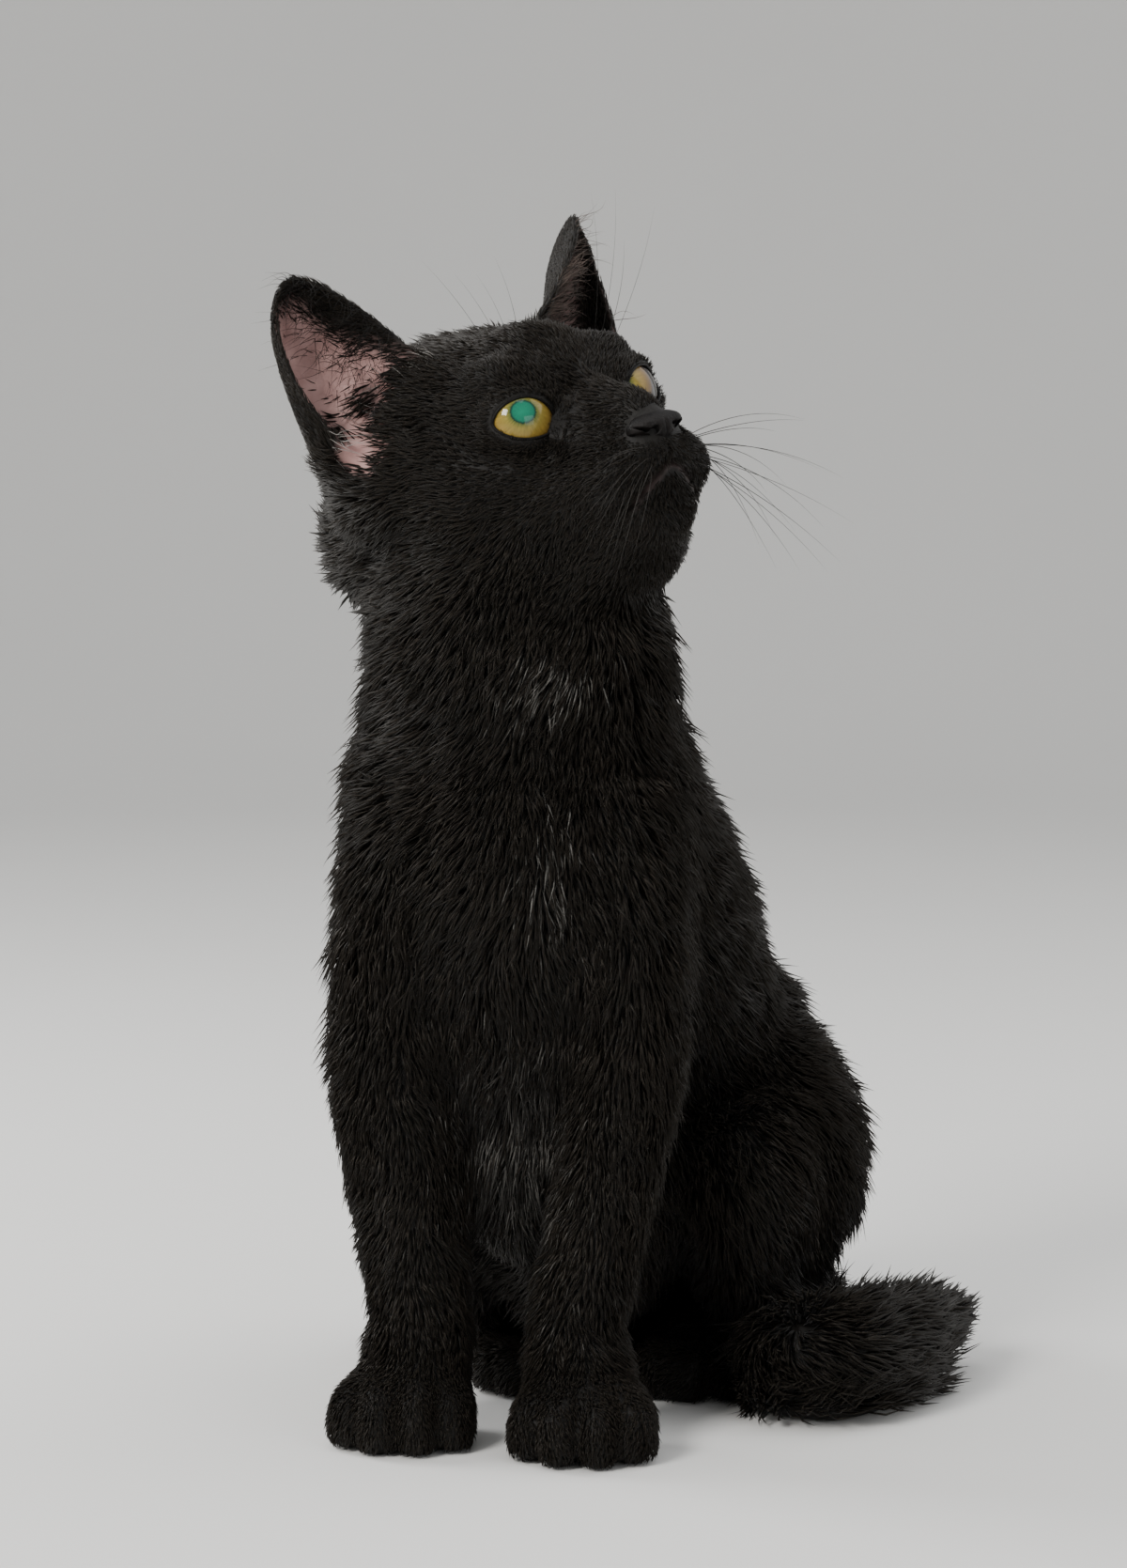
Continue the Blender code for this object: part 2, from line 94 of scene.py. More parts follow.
ROUNDING_ELSEWHERE = 0.5
TUFTS = 143000
MOST_TUFTS_IN_PIECE = 19500


def centre(name):
    low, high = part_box(name)
    return (low + high) / 2


def head_frame():
    """From the head's own frame to the kitten's in metres, by its two eyes and its nose."""
    left, right, nose = (centre(name) for name in ("eye_left", "eye_right", "nose"))
    across = (left - right).normalized()
    middle = (left + right) / 2
    ahead = nose - middle
    ahead = (ahead - across * ahead.dot(across)).normalized()
    third = across.cross(ahead)
    lean = math.atan2(EYE_AT.z - NOSE_AT.z, EYE_AT.y - NOSE_AT.y)
    back = third * math.sin(lean) - ahead * math.cos(lean)
    up = -ahead * math.sin(lean) - third * math.cos(lean)
    turn = Matrix((across, back, up)).transposed()
    origin = middle - turn @ Vector((0, EYE_AT.y, EYE_AT.z)) * MM
    return Matrix.Translation(origin) @ turn.to_4x4() @ Matrix.Scale(MM, 4)


HEAD = head_frame()


def eye_at(sign):
    """The middle of an eyeball in the head's frame; sign is its side."""
    return Vector((EYE_AT.x * sign, EYE_AT.y, EYE_AT.z))


def eye_frame(sign):
    """The frame of one eye, its y axis pointing back from the middle of the opening."""
    outward = Matrix.Rotation(math.radians(EYE_OUTWARD * sign), 4, "Z")
    slant = Matrix.Rotation(math.radians(-EYE_SLANT * sign), 4, "Y")
    return HEAD @ Matrix.Translation(eye_at(sign)) @ outward @ slant


def placed(points, matrix):
    """Points as rows, moved by a matrix."""
    m = np.array(matrix)
    return points @ m[:3, :3].T + m[:3, 3]


def in_head(points):
    return placed(points, HEAD.inverted())


def turned_to_head(ways):
    return placed(ways, HEAD.inverted().to_3x3().normalized().to_4x4())


def ease(x, low, high):
    t = np.clip((x - low) / (high - low), 0, 1)
    return t * t * (3 - 2 * t)


def bump(x, width):
    return np.exp(-((x / width) ** 2))


def lengths(ways):
    return np.linalg.norm(ways, axis=-1)


def unit(ways):
    return ways / np.maximum(lengths(ways)[..., None], 1e-12)


def along_skin(ways, normals):
    return ways - normals * (ways * normals).sum(1, keepdims=True)


def distance_to(points, line):
    return lengths(points[:, None] - line).min(1)


# ---- meshes


def read(items, field, width, kind=np.int32):
    """One field of every item of a mesh, as rows."""
    found = np.empty(len(items) * width, kind)
    items.foreach_get(field, found)
    return found.reshape(-1, width)


def coordinates(mesh):
    return read(mesh.vertices, "co", 3, np.float32).astype(float)


def edges_of(mesh):
    return read(mesh.edges, "vertices", 2)


def triangles_of(mesh):
    mesh.calc_loop_triangles()
    return read(mesh.loop_triangles, "vertices", 3)


def set_coordinates(mesh, points):
    mesh.vertices.foreach_set("co", points.astype(np.float32).ravel())
    mesh.update()


def face_normals(points, triangles):
    """Each triangle's normal, as long as twice its area."""
    a, b, c = (points[triangles[:, i]] for i in range(3))
    return np.cross(b - a, c - a)


def gathered(index, rows, count):
    """The sum of the rows that fall to each vertex."""
    return np.stack([np.bincount(index, column, count) for column in rows.T], axis=1)


def normals_of(points, triangles):
    """Vertex normals, each face counted by its area."""
    face = face_normals(points, triangles)
    return unit(sum(gathered(triangles[:, i], face, len(points)) for i in range(3)))


def neighbour_mean(values, edges):
    """The mean over each vertex's neighbours, for values as rows."""
    a, b = edges.T
    count = len(values)
    degree = np.bincount(edges.ravel(), minlength=count)[:, None]
    return (gathered(a, values[b], count) + gathered(b, values[a], count)) / np.maximum(degree, 1)


def relaxed(values, edges, rounds, strength=0.5):
    """Values smoothed over the mesh."""
    flat = values.ndim == 1
    values = values[:, None] if flat else values
    for _ in range(rounds):
        values = values + (neighbour_mean(values, edges) - values) * strength
    return values[:, 0] if flat else values


def new_object(name, mesh):
    obj = bpy.data.objects.new(name, mesh)
    bpy.context.scene.collection.objects.link(obj)
    return obj


def solid(name, points, faces):
    """A smooth mesh from points in rows and a list of faces."""
    mesh = bpy.data.meshes.new(name)
    mesh.from_pydata(points.reshape(-1, 3).tolist(), [], faces)
    mesh.shade_smooth()
    return new_object(name, mesh)


@contextlib.contextmanager
def edited(mesh):
    """A mesh opened for bmesh, and written back at the end."""
    made = bmesh.new()
    made.from_mesh(mesh)
    yield made
    made.to_mesh(mesh)
    made.free()


def apply_modifiers(obj):
    graph = bpy.context.evaluated_depsgraph_get()
    mesh = bpy.data.meshes.new_from_object(obj.evaluated_get(graph))
    obj.modifiers.clear()
    obj.data = mesh


def decimate(obj, triangles, spared=()):
    """Thins a mesh, but not at the spared vertices."""
    thin = obj.modifiers.new("thin", "DECIMATE")
    thin.ratio = min(1, triangles / len(triangles_of(obj.data)))
    if len(spared):
        group = obj.vertex_groups.new(name="thin")
        group.add(np.flatnonzero(~spared).tolist(), 1, "REPLACE")
        group.add(np.flatnonzero(spared).tolist(), 0, "REPLACE")
        thin.vertex_group = group.name
    apply_modifiers(obj)


def attribute(mesh, name, values, kind="FLOAT"):
    made = mesh.attributes.new(name, kind, "POINT")
    field = "value" if kind == "FLOAT" else "vector"
    made.data.foreach_set(field, values.astype(np.float32).ravel())


def finish_piece(obj, material):
    """Gives a piece its material and slot, and lets it ride on the body."""
    obj.data.materials.clear()
    obj.data.materials.append(material)
    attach(obj, "root")


def barycentric(spots, corners):
    """Shares of a triangle's corners at the spots."""
    a, b, c = (corners[:, i] for i in range(3))
    u, v, w = b - a, c - a, spots - a
    uu, uv, vv = (u * u).sum(1), (u * v).sum(1), (v * v).sum(1)
    wu, wv = (w * u).sum(1), (w * v).sum(1)
    below = np.maximum(uu * vv - uv * uv, 1e-20)
    s = np.clip((vv * wu - uv * wv) / below, 0, 1)
    t = np.clip((uu * wv - uv * wu) / below, 0, 1)
    over = np.maximum(s + t, 1)
    s, t = s / over, t / over
    return np.stack([1 - s - t, s, t], axis=1)


class Surface:
    """Triangles that can be searched for the spot nearest to a point."""

    def __init__(self, points, triangles):
        self.points = points
        self.triangles = triangles
        self.tree = BVHTree.FromPolygons(points.tolist(), triangles.tolist())

    def nearest(self, points):
        """The spot nearest to each point, its triangle, and its shares in the triangle's corners."""
        found = [self.tree.find_nearest(p) for p in points.tolist()]
        spot = np.array([f[0][:] for f in found])
        face = np.array([f[2] for f in found])
        return spot, face, barycentric(spot, self.points[self.triangles[face]])

    def carried(self, values, face, share):
        """The vertices' values at spots on the triangles."""
        picked = values[self.triangles[face]]
        return (picked * (share if values.ndim == 1 else share[:, :, None])).sum(1)


# ---- the nodes as one surface


def node_surface():
    """Every flesh node in one surface, with the node that each of its triangles belongs to."""
    points, faces, owners = [], [], []
    for index, name in enumerate(FLESH):
        triangles = triangles_of(NODES[name].data)
        faces.append(triangles + sum(len(p) for p in points))
        points.append(coordinates(NODES[name].data))
        owners.append(np.full(len(triangles), index))
    surface = Surface(np.concatenate(points), np.concatenate(faces))
    surface.owners = np.concatenate(owners)
    return surface


def owners_of(points, surface):
    return surface.owners[surface.nearest(points)[1]]


def remeshed_flesh():
    """All nodes in one closed surface, with no sockets or gaps."""
    whole = bmesh.new()
    for name in sorted(NODES):
        by = TAIL_ROOT_GROWTH if name == "tail_root" else SEAM_GROWTH
        shift = Vector((TAIL_CLEARANCE if KIND[name] == "tail" else 0, 0, 0))
        mesh = NODES[name].data.copy()
        with edited(mesh) as part:
            bmesh.ops.remove_doubles(part, verts=part.verts, dist=1e-6)
            part.normal_update()
            for vertex in part.verts:
                vertex.co += vertex.normal * (by * MM) + shift * MM
        whole.from_mesh(mesh)
        bpy.data.meshes.remove(mesh)
    mesh = bpy.data.meshes.new("skin")
    whole.to_mesh(mesh)
    whole.free()
    skin = new_object("skin", mesh)
    remesh = skin.modifiers.new("melt", "REMESH")
    remesh.mode = "VOXEL"
    remesh.voxel_size = VOXEL * MM
    apply_modifiers(skin)
    return skin


# ---- the skin


def head_depth(at):
    """Coat depth on the head, most on the cheeks, the nape and the throat."""
    _, y, z = at.T
    depth = 0.9 + 2.7 * ease(y, -34, 30)
    cheek = 1 + 2.6 * ease(-z, 6, 26) * ease(y, -40, -8)
    return np.maximum(depth, cheek)


def tail_share(points):
    """Share of the tail's coat depth, less towards the tip."""
    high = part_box("tail_end")[1]
    tip = np.array((high.x, high.y, TAIL_TIP_HEIGHT * MM)) - np.array((3.5, 3.5, 0)) * MM
    return 0.2 + 0.8 * ease(lengths(points - tip) / MM, 0, 30)


def coat_table(points, owners, column):
    """One column of COATS at each point, by the node that owns it."""
    values = np.array([COATS[kind][column] for kind in KINDS])[owners]
    if column == 0:
        values = np.where(owners == FLESH.index("tail_end"), values * tail_share(points), values)
    on_head = KINDS[owners] == "head"
    share = head_depth(in_head(points[on_head])) / COATS["head"][0]
    values[on_head] = COATS["head"][column] * share ** HEAD_POWERS[column]
    return values


def sink(skin, surface):
    """Smooths the skin and takes it in by the coat's depth."""
    mesh = skin.data
    edges = edges_of(mesh)
    points = coordinates(mesh)
    owners = owners_of(points, surface)
    rounding = np.array([ROUNDING.get(kind, ROUNDING_ELSEWHERE) for kind in KINDS])[owners]
    rounding = relaxed(rounding, edges, 4)[:, None]
    points = relaxed(points, edges, 14, rounding)

    depth = relaxed(coat_table(points, owners, 0), edges, 30)
    depth[KINDS[owners] == "ear"] = COATS["ear"][0]
    depth = relaxed(depth, edges, 5) * ease(points[:, 2] / MM, 0, 9)
    normals = relaxed(normals_of(points, triangles_of(mesh)), edges, 8, rounding * 1.5)
    points = points - unit(normals) * (depth[:, None] + SEAM_GROWTH) * MM
    points = relaxed(points, edges, 3, rounding * 0.8)
    points[:, 2] = np.maximum(points[:, 2], SKIN_LEAST_HEIGHT * MM)
    set_coordinates(mesh, points)


def refine_face(skin):
    """Halves the faces of the front of the head."""
    inverse = HEAD.inverted()
    with edited(skin.data) as made:
        chosen = []
        for face in made.faces:
            at = inverse @ face.calc_center_median()
            muzzle = at.y < -30 and at.z > -40
            lids = at.y < -8 and abs(abs(at.x) - EYE_AT.x) < 14 and abs(at.z - EYE_AT.z) < 13
            if (muzzle or lids) and abs(at.x) < 34 and at.z < 30:
                chosen.append(face)
        edges = list({edge for face in chosen for edge in face.edges})
        bmesh.ops.subdivide_edges(made, edges=edges, cuts=1, smooth=0, use_grid_fill=True)
        bmesh.ops.triangulate(made, faces=[f for f in made.faces if len(f.verts) > 4])


LID_HALF_WIDTH = 8.7
LID_RISE = 5.3
LID_DROP = 4.7
LID_CORNER_DROP = 1.3


def lid_edge(x, sign):
    """Height of the upper and the lower lid's edge at x."""
    across = np.clip(np.abs(x) / LID_HALF_WIDTH, 0, 1)
    arch = np.sqrt(1 - across**2)
    corner = -LID_CORNER_DROP * np.clip(-x * sign / LID_HALF_WIDTH, 0, 1) ** 2
    return LID_RISE * arch**1.15 + corner, -LID_DROP * arch**1.25 + corner


def lid_loop(sign, count):
    """Points round the opening between the lids, as x and z in the eye's frame."""
    angle = np.linspace(0, 2 * np.pi, count, endpoint=False)
    x = LID_HALF_WIDTH * np.cos(angle)
    upper, lower = lid_edge(x, sign)
    return np.stack([x, np.where(np.sin(angle) >= 0, upper, lower)], axis=1)


def on_eyeball(flat, radius):
    """Points of the eye's front plane, wrapped on a ball."""
    size = np.maximum(lengths(flat), 1e-9)
    angle = size / EYE_RADIUS
    x, z = flat.T / size * np.sin(angle) * radius
    return np.stack([x, -np.cos(angle) * radius, z], axis=1)


def unwrapped_eye(at):
    """Inverse of on_eyeball: places on the front plane, and distances from the centre."""
    reach = lengths(at)
    angle = np.arccos(np.clip(-at[:, 1] / np.maximum(reach, 1e-9), -1, 1))
    scale = angle * EYE_RADIUS / np.maximum(np.hypot(at[:, 0], at[:, 2]), 1e-9)
    return at[:, ::2] * scale[:, None], reach


def margin_distance(flat, sign):
    """Distance from the opening's edge, negative inside it."""
    gaps = distance_to(flat, lid_loop(sign, 90))
    x, z = flat.T
    upper, lower = lid_edge(x, sign)
    return np.where((np.abs(x) < LID_HALF_WIDTH) & (z < upper) & (z > lower), -gaps, gaps)


def lids_shaped(points):
    """Draws the skin over each eyeball as lids, and sinks it inside the opening."""
    for sign in SIDES:
        at = placed(points, eye_frame(sign).inverted())
        near = (lengths(at) < 20) & (at[:, 1] < 7)
        at = at[near]
        flat, reach = unwrapped_eye(at)
        gap = margin_distance(flat, sign)
        over = ease(flat[:, 1], 0, 4)
        side = ease(flat[:, 0] * sign, -1, 6)
        lid = EYE_RADIUS + 0.7 + (0.10 + 0.26 * over * side) * np.maximum(gap, 0)
        fold = 0.45 * bump(gap - 2.6, 0.7) * over
        blend = ease(gap, 1.5, 7.5)
        outside = np.maximum(lid * (1 - blend) + reach * blend - fold, EYE_RADIUS + 0.6)
        made = np.where(gap < 0, np.minimum(reach, EYE_RADIUS - 1.2), outside)
        fades = ease(at[:, 1], -1, -4)
        made = reach * (1 - fades) + made * fades
        covers = (gap > 0) | (at[:, 1] > -1)
        made = np.where(covers, np.maximum(made, EYE_RADIUS + 0.55), made)
        points[near] = placed(at / reach[:, None] * made[:, None], eye_frame(sign))
    return points


MOUTH = ((0, -50.4, -15.4), (2.9, -51.4, -16.6), (5.6, -49.8, -18.7), (8.6, -47.6, -21.2), (11.2, -45.2, -23.4))
PHILTRUM = ((0, -52.5, -10.5), (0, -51.6, -13.2), (0, -50.4, -15.4))


def crease(surface, route):
    """A smooth line of points on the skin, near the given route in the head's frame."""
    route = np.array(route)
    steps = np.linspace(0, len(route) - 1, 40)
    line = np.stack([np.interp(steps, np.arange(len(route)), column) for column in route.T], axis=1)
    for _ in range(6):
        line[1:-1] = (line[:-2] + line[2:]) / 2
    return surface.nearest(placed(line, HEAD))[0]


def muzzle_shaped(points, triangles):
    """Cuts the mouth's line and the philtrum, and puffs the whisker pads and the bridge."""
    at = in_head(points)
    near = np.flatnonzero((at[:, 1] < -28) & (np.abs(at[:, 0]) < 24) & (np.abs(at[:, 2] + 14) < 26))
    surface = Surface(points, triangles)
    normals = normals_of(points, triangles)[near]
    lines = [crease(surface, [(x * sign, y, z) for x, y, z in MOUTH]) for sign in SIDES]
    mouth = np.minimum(*(distance_to(points[near], line) for line in lines)) / MM
    split = distance_to(points[near], crease(surface, PHILTRUM)) / MM
    depth = 1.7 * bump(mouth, 0.7) + 0.5 * bump(mouth, 2) + 0.8 * bump(split, 0.6)
    x, y, z = at[near].T
    for sign in SIDES:
        pad = np.sqrt((x * sign - 7.5) ** 2 + (y + 48) ** 2 + (z + 13.5) ** 2)
        depth -= 0.8 * bump(pad, 4.6)
    bridge = np.sqrt((x / 1.15) ** 2 + ((y + 45) / 1.5) ** 2 + (z + 1.2) ** 2)
    depth -= 1.3 * bump(bridge, 4.8)
    depth += 1.3 * bump(x, 2.6) * bump(z + 16.5, 4)
    lip = np.zeros(len(points))
    line_height = np.interp(np.abs(x), [c[0] for c in MOUTH], [c[2] for c in MOUTH])
    lower = ease(line_height - z, -0.4, 0.5)
    lip[near] = ease(mouth, 2.4, 1.1) * lower + ease(mouth, 0.9, 0.4) * (1 - lower)
    lip[near] *= ease(np.abs(x), 11.5, 8.5)
    points[near] -= normals * depth[:, None] * MM
    return points, lip


def notches_sunk(points, triangles):
    """Sinks the head's skin where each ear's opening runs down into the cheek."""
    normals = normals_of(points, triangles)
    return points - normals * (2.4 * bump(notch_gap(in_head(points)), 4.2) * faces_ahead(normals) * MM)[:, None]


TOE_GROOVES = (-0.5, 0, 0.5)
TOES = (-0.75, -0.25, 0.25, 0.75)


def toes_shaped(points, triangles):
    """Grooves between the four toes of each foot, and rounds each toe."""
    normals = normals_of(points, triangles)
    depth = np.zeros(len(points))
    x, y, z = (points / MM).T
    for name in ("forepaw_left", "forepaw_right", "hindfoot_left", "hindfoot_right"):
        low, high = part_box(name)
        half = (high.x - low.x) / (2 * MM)
        ahead = y - low.y / MM
        top = high.z / MM
        fan = 1 + 0.012 * np.clip(10 - ahead, -10, 10)
        across = (x - (low.x + high.x) / (2 * MM)) / (half * fan)
        near = (np.abs(across) < 1.15) & (z < top) & (ahead < 24) & (ahead > -4)
        fades = near * ease(-ahead, -15, -5) * ease(-z, -top * 0.85, -top * 0.45)
        for place in TOE_GROOVES:
            depth += 1.1 * bump((across - place) * half, 1.5) * fades
        for place in TOES:
            depth -= 0.4 * bump((across - place) * half, 2.6) * fades
    points = points - normals * depth[:, None] * MM
    points[:, 2] = np.maximum(points[:, 2], SKIN_LEAST_HEIGHT * MM)
    return points


def skin_made(surface):
    """The one skin, with its lids and mouth, and a mask of its lips."""
    skin = remeshed_flesh()
    sink(skin, surface)
    refine_face(skin)
    mesh = skin.data
    triangles = triangles_of(mesh)
    points = lids_shaped(toes_shaped(coordinates(mesh), triangles))
    points, lip = muzzle_shaped(notches_sunk(points, triangles), triangles)
    set_coordinates(mesh, points)
    attribute(mesh, "lip", lip)
    x, y, z = in_head(points).T
    face = (y < -6) & (np.abs(x) < 32) & (np.abs(z + 2) < 34)
    decimate(skin, SKIN_TRIANGLES, face | ((z > 24) & (y > -12)))
    skin.data.shade_smooth()
    return skin


# ---- the lie of the coat

TAIL_BEND = 0.014  # how far from the tail's foremost point its two runs are one
LIE_START = ((0, -54, -7),)


def may_join(a, b, y):
    """Whether the coat's lie may run between two nodes that touch, at a place's y."""
    kinds = {KIND[a], KIND[b]}
    if kinds & {"foreleg", "forepaw"} and kinds & {"thigh", "hindfoot", "rump"}:
        return False
    if {a, b} == {"tail_middle", "tail_end"}:
        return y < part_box("tail_end")[0].y + TAIL_BEND
    if {a, b} == {"tail_root", "tail_end"}:
        return False
    return "tail" not in kinds or kinds == {"tail"} or {a, b} == {"tail_root", "rump"}


def distances_over(points, links, start):
    """How far each vertex is from the start along the links; 0 where none leads to it."""
    far = np.full(len(points), np.inf)
    far[start] = 0
    queue = [(0, start)]
    while queue:
        reach, i = heapq.heappop(queue)
        if reach > far[i]:
            continue
        for j in links[i]:
            further = reach + math.dist(points[i], points[j])
            if further < far[j]:
                far[j] = further
                heapq.heappush(queue, (further, j))
    far[~np.isfinite(far)] = 0
    return far


def lie_of_coat(mesh, surface):
    """The way the hair lies: away from the nose along the skin, out to each tip."""
    points = coordinates(mesh)
    edges = edges_of(mesh)
    names = [FLESH[owner] for owner in owners_of(points, surface)]
    links = [set() for _ in points]
    for a, b in edges.tolist():
        if may_join(names[a], names[b], points[a, 1]):
            links[a].add(b)
            links[b].add(a)
    wide = [
        {j for n in near for j in links[n] if may_join(names[i], names[j], points[i, 1])} | near - {i}
        for i, near in enumerate(links)
    ]
    start = int(np.argmin(lengths(points - placed(np.array(LIE_START), HEAD)[0])))
    far = distances_over(points, wide, start)
    normals = normals_of(points, triangles_of(mesh))
    lie = np.zeros_like(points)
    for i, near in enumerate(wide):
        if near:
            j = np.fromiter(near, int)
            step = points[j] - points[i]
            lie[i] = ((far[j] - far[i]) / np.maximum((step**2).sum(1), 1e-12)) @ step
    lie = unit(along_skin(lie, normals))
    for _ in range(6):
        lie = unit(along_skin(lie + neighbour_mean(lie, edges), normals))
    return lie


# ---- tufts

# One tuft: a ring of three at the root, a ring of three at the bend, and the tip.
TUFT_SIDES = ((0, 1, 4), (0, 4, 3), (1, 2, 5), (1, 5, 4), (2, 0, 3), (2, 3, 5))
TUFT_FACES = np.array([(0, 2, 1), *TUFT_SIDES, (3, 4, 6), (4, 5, 6), (5, 3, 6)])
TUFT_POINTS = 7
MAP_PATCH = 0.003


def patch_corners():
    """Each face corner's place in the tuft's own patch of the map, from 0 to 1."""
    low, bend, high = 0.16, 0.58, 1
    ring = [(k / 3, low) for k in range(4)]
    middle = [(k / 3, bend) for k in range(4)]
    faces = [((0.1, 0), (0.9, 0), (0.5, low - 0.04))]
    for k in range(3):
        faces.append((ring[k], ring[k + 1], middle[k + 1]))
        faces.append((ring[k], middle[k + 1], middle[k]))
    for k in range(3):
        faces.append((middle[k], middle[k + 1], ((k + 0.5) / 3, high)))
    return np.array(faces).reshape(-1, 2)


def tuft_mesh(name, root, bend, tip, face_up, width, maps):
    """One mesh of many tufts, from rows in metres."""
    count = len(root)
    points = np.empty((count, TUFT_POINTS, 3))
    for ring, (at, ahead, size) in enumerate(((root, bend - root, 0.8), (bend, tip - root, 1))):
        along = unit(ahead)
        up = unit(along_skin(face_up, along))
        side = np.cross(up, along)
        half = width[:, None] * (size / 2)
        points[:, ring * 3] = at + side * half - up * half * 0.3
        points[:, ring * 3 + 1] = at + up * half * 0.75
        points[:, ring * 3 + 2] = at - side * half - up * half * 0.3
    points[:, 6] = tip
    points[:, :, 2] = np.maximum(points[:, :, 2], TUFT_LEAST_HEIGHT * MM)
    faces = (TUFT_FACES + TUFT_POINTS * np.arange(count)[:, None, None]).reshape(-1, 3)
    mesh = bpy.data.meshes.new(name)
    mesh.vertices.add(count * TUFT_POINTS)
    mesh.vertices.foreach_set("co", points.astype(np.float32).ravel())
    mesh.loops.add(len(faces) * 3)
    mesh.loops.foreach_set("vertex_index", faces.astype(np.int32).ravel())
    mesh.polygons.add(len(faces))
    mesh.polygons.foreach_set("loop_start", np.arange(0, len(faces) * 3, 3, dtype=np.int32))
    mesh.update(calc_edges=True)
    layer = mesh.uv_layers.new(name="OFBake")
    corners = maps[:, None, :] + MAP_PATCH * (patch_corners()[None] - 0.5)
    layer.data.foreach_set("uv", corners.astype(np.float32).ravel())
    mesh.shade_smooth()
    return new_object(name, mesh)


class Ground(Surface):
    """The skin as the coat grows on it, with how tufts lie and their sizes."""

    def __init__(self, mesh, surface, guide_mesh):
        super().__init__(coordinates(mesh), triangles_of(mesh))
        self.edges = edges_of(mesh)
        self.normals = normals_of(self.points, self.triangles)
        self.owners = owners_of(self.points, surface)
        self.kinds = KINDS[self.owners]
        self.at_head = in_head(self.points)
        self.guide = Surface(coordinates(guide_mesh), triangles_of(guide_mesh))
        _, face, share = self.guide.nearest(self.points)
        self.lie = self.guide.carried(lie_of_coat(guide_mesh, surface), face, share)
        self.depth, self.length, self.width, self.density = (self.column(k) for k in range(4))
        self.lip = read(mesh.attributes["lip"].data, "value", 1, np.float32)[:, 0]
        self.inside, self.climb, self.reach = ear_places(self)
        self.bare = ear_bareness(self)
        self.length = self.length * (1 + 0.7 * self.inside)
        self.eye_gap = eye_gap(self.points)
        self.nose_gap = lengths((self.at_head - np.array(NOSE_AT)) / np.array(NOSE_RADII))  # 1 on its surface
        self.shorten_round_openings()
        self.hairy = hairiness(self)

    def shorten_round_openings(self):
        """Turns the hair away from the eyes and the nose, and shortens it beside them."""
        away = np.zeros_like(self.points)
        nearness = np.zeros(len(self.points))
        face = np.flatnonzero(self.at_head[:, 1] < -5)
        spots = [(eye_at(sign), self.eye_gap) for sign in SIDES]
        spots.append((NOSE_AT, (self.nose_gap - 1) * NOSE_RADII[2]))
        for middle, gap in spots:
            out = self.points[face] - np.array(HEAD @ middle)
            close = bump(np.maximum(gap[face], 0), 2.2) * (lengths(out) < 16 * MM)
            away[face] += unit(out) * close[:, None]
            nearness[face] = np.maximum(nearness[face], close)
        self.lie = unit(self.lie + 2 * along_skin(away, self.normals))
        self.length = self.length * (1 - 0.5 * nearness)
        self.width = self.width * (1 - 0.25 * nearness)

    def column(self, index):
        values = coat_table(self.points, self.owners, index)
        smooth = relaxed(values, self.edges, 24)
        return np.where(self.kinds == "ear", relaxed(values, self.edges, 3), smooth)


def ripple(points, size, count=9):
    """Smooth noise at the points, about -1 to 1, with waves of about the given size."""
    ways = unit(RNG.normal(size=(count, 3))) * RNG.uniform(0.7, 1.6, (count, 1))
    phases = RNG.uniform(0, 2 * np.pi, count)
    return np.sin(points @ ways.T * (2 * np.pi / (size * MM)) + phases).sum(1) / math.sqrt(count / 2)


FAR_GAP = 50.0


def eye_gap(points):
    """Distance from the nearer eye's opening, negative inside it."""
    gap = np.full(len(points), FAR_GAP)
    for sign in SIDES:
        at = placed(points, eye_frame(sign).inverted())
        near = np.flatnonzero((lengths(at) < 20) & (at[:, 1] < -2))
        flat, _ = unwrapped_eye(at[near])
        gap[near] = np.minimum(gap[near], margin_distance(flat, sign))
    return gap


EAR_NOTCH = ((38, 7, 8.5), (31.5, 12.5, 16.5), (26.5, 11.5, 22.5))
EAR_OPENINGS = {"ear_right": (-0.19, -0.96, 0.2), "ear_left": (0.35, -0.93, 0.1)}
NOTCH_WAY = (0.5, -0.85, 0.1)
EAR_ROWS = 14


def ear_ways(name):
    """An ear's ways in the head's frame: out of its opening, up to its tip, across to its outer edge."""
    sign = 1 if name == "ear_left" else -1
    opening = unit(np.array(EAR_OPENINGS[name]))
    up = unit(np.array((0.42 * sign, 0, 0.9)))
    up = unit(up - opening * (up @ opening))
    across = np.cross(up, opening)
    return opening, up, across * np.sign(across[0] * sign)


def ear_places(ground):
    """How far each ear vertex looks out of the opening, its height and its place across, 0 to 1."""
    inside, climb, reach = np.zeros((3, len(ground.points)))
    turned = turned_to_head(ground.normals)
    for name in EAR_OPENINGS:
        opening, up, across = ear_ways(name)
        own = np.flatnonzero(ground.owners == FLESH.index(name))
        height = ground.at_head[own] @ up
        side = ground.at_head[own] @ across
        share = (height - height.min()) / (height.max() - height.min())
        row = np.minimum((share * EAR_ROWS).astype(int), EAR_ROWS - 1)
        middles = (np.arange(EAR_ROWS) + 0.5) / EAR_ROWS
        rows = [side[row == r] for r in range(EAR_ROWS)]
        near = np.interp(share, middles, [r.min() for r in rows])
        far = np.interp(share, middles, [r.max() for r in rows])
        least = -0.25 + 0.40 * ease(share, 0.05, 0.30)
        inside[own] = ease(turned[own] @ opening, least, least + 0.35)
        climb[own] = share
        reach[own] = np.clip((side - near) / np.maximum(far - near, 0.5), 0, 1)
    return relaxed(inside, ground.edges, 2), climb, reach


def mirrored(rows):
    """Rows in the head's frame, those of its right side brought to its left."""
    return np.column_stack([np.abs(rows[:, 0]), rows[:, 1:]])


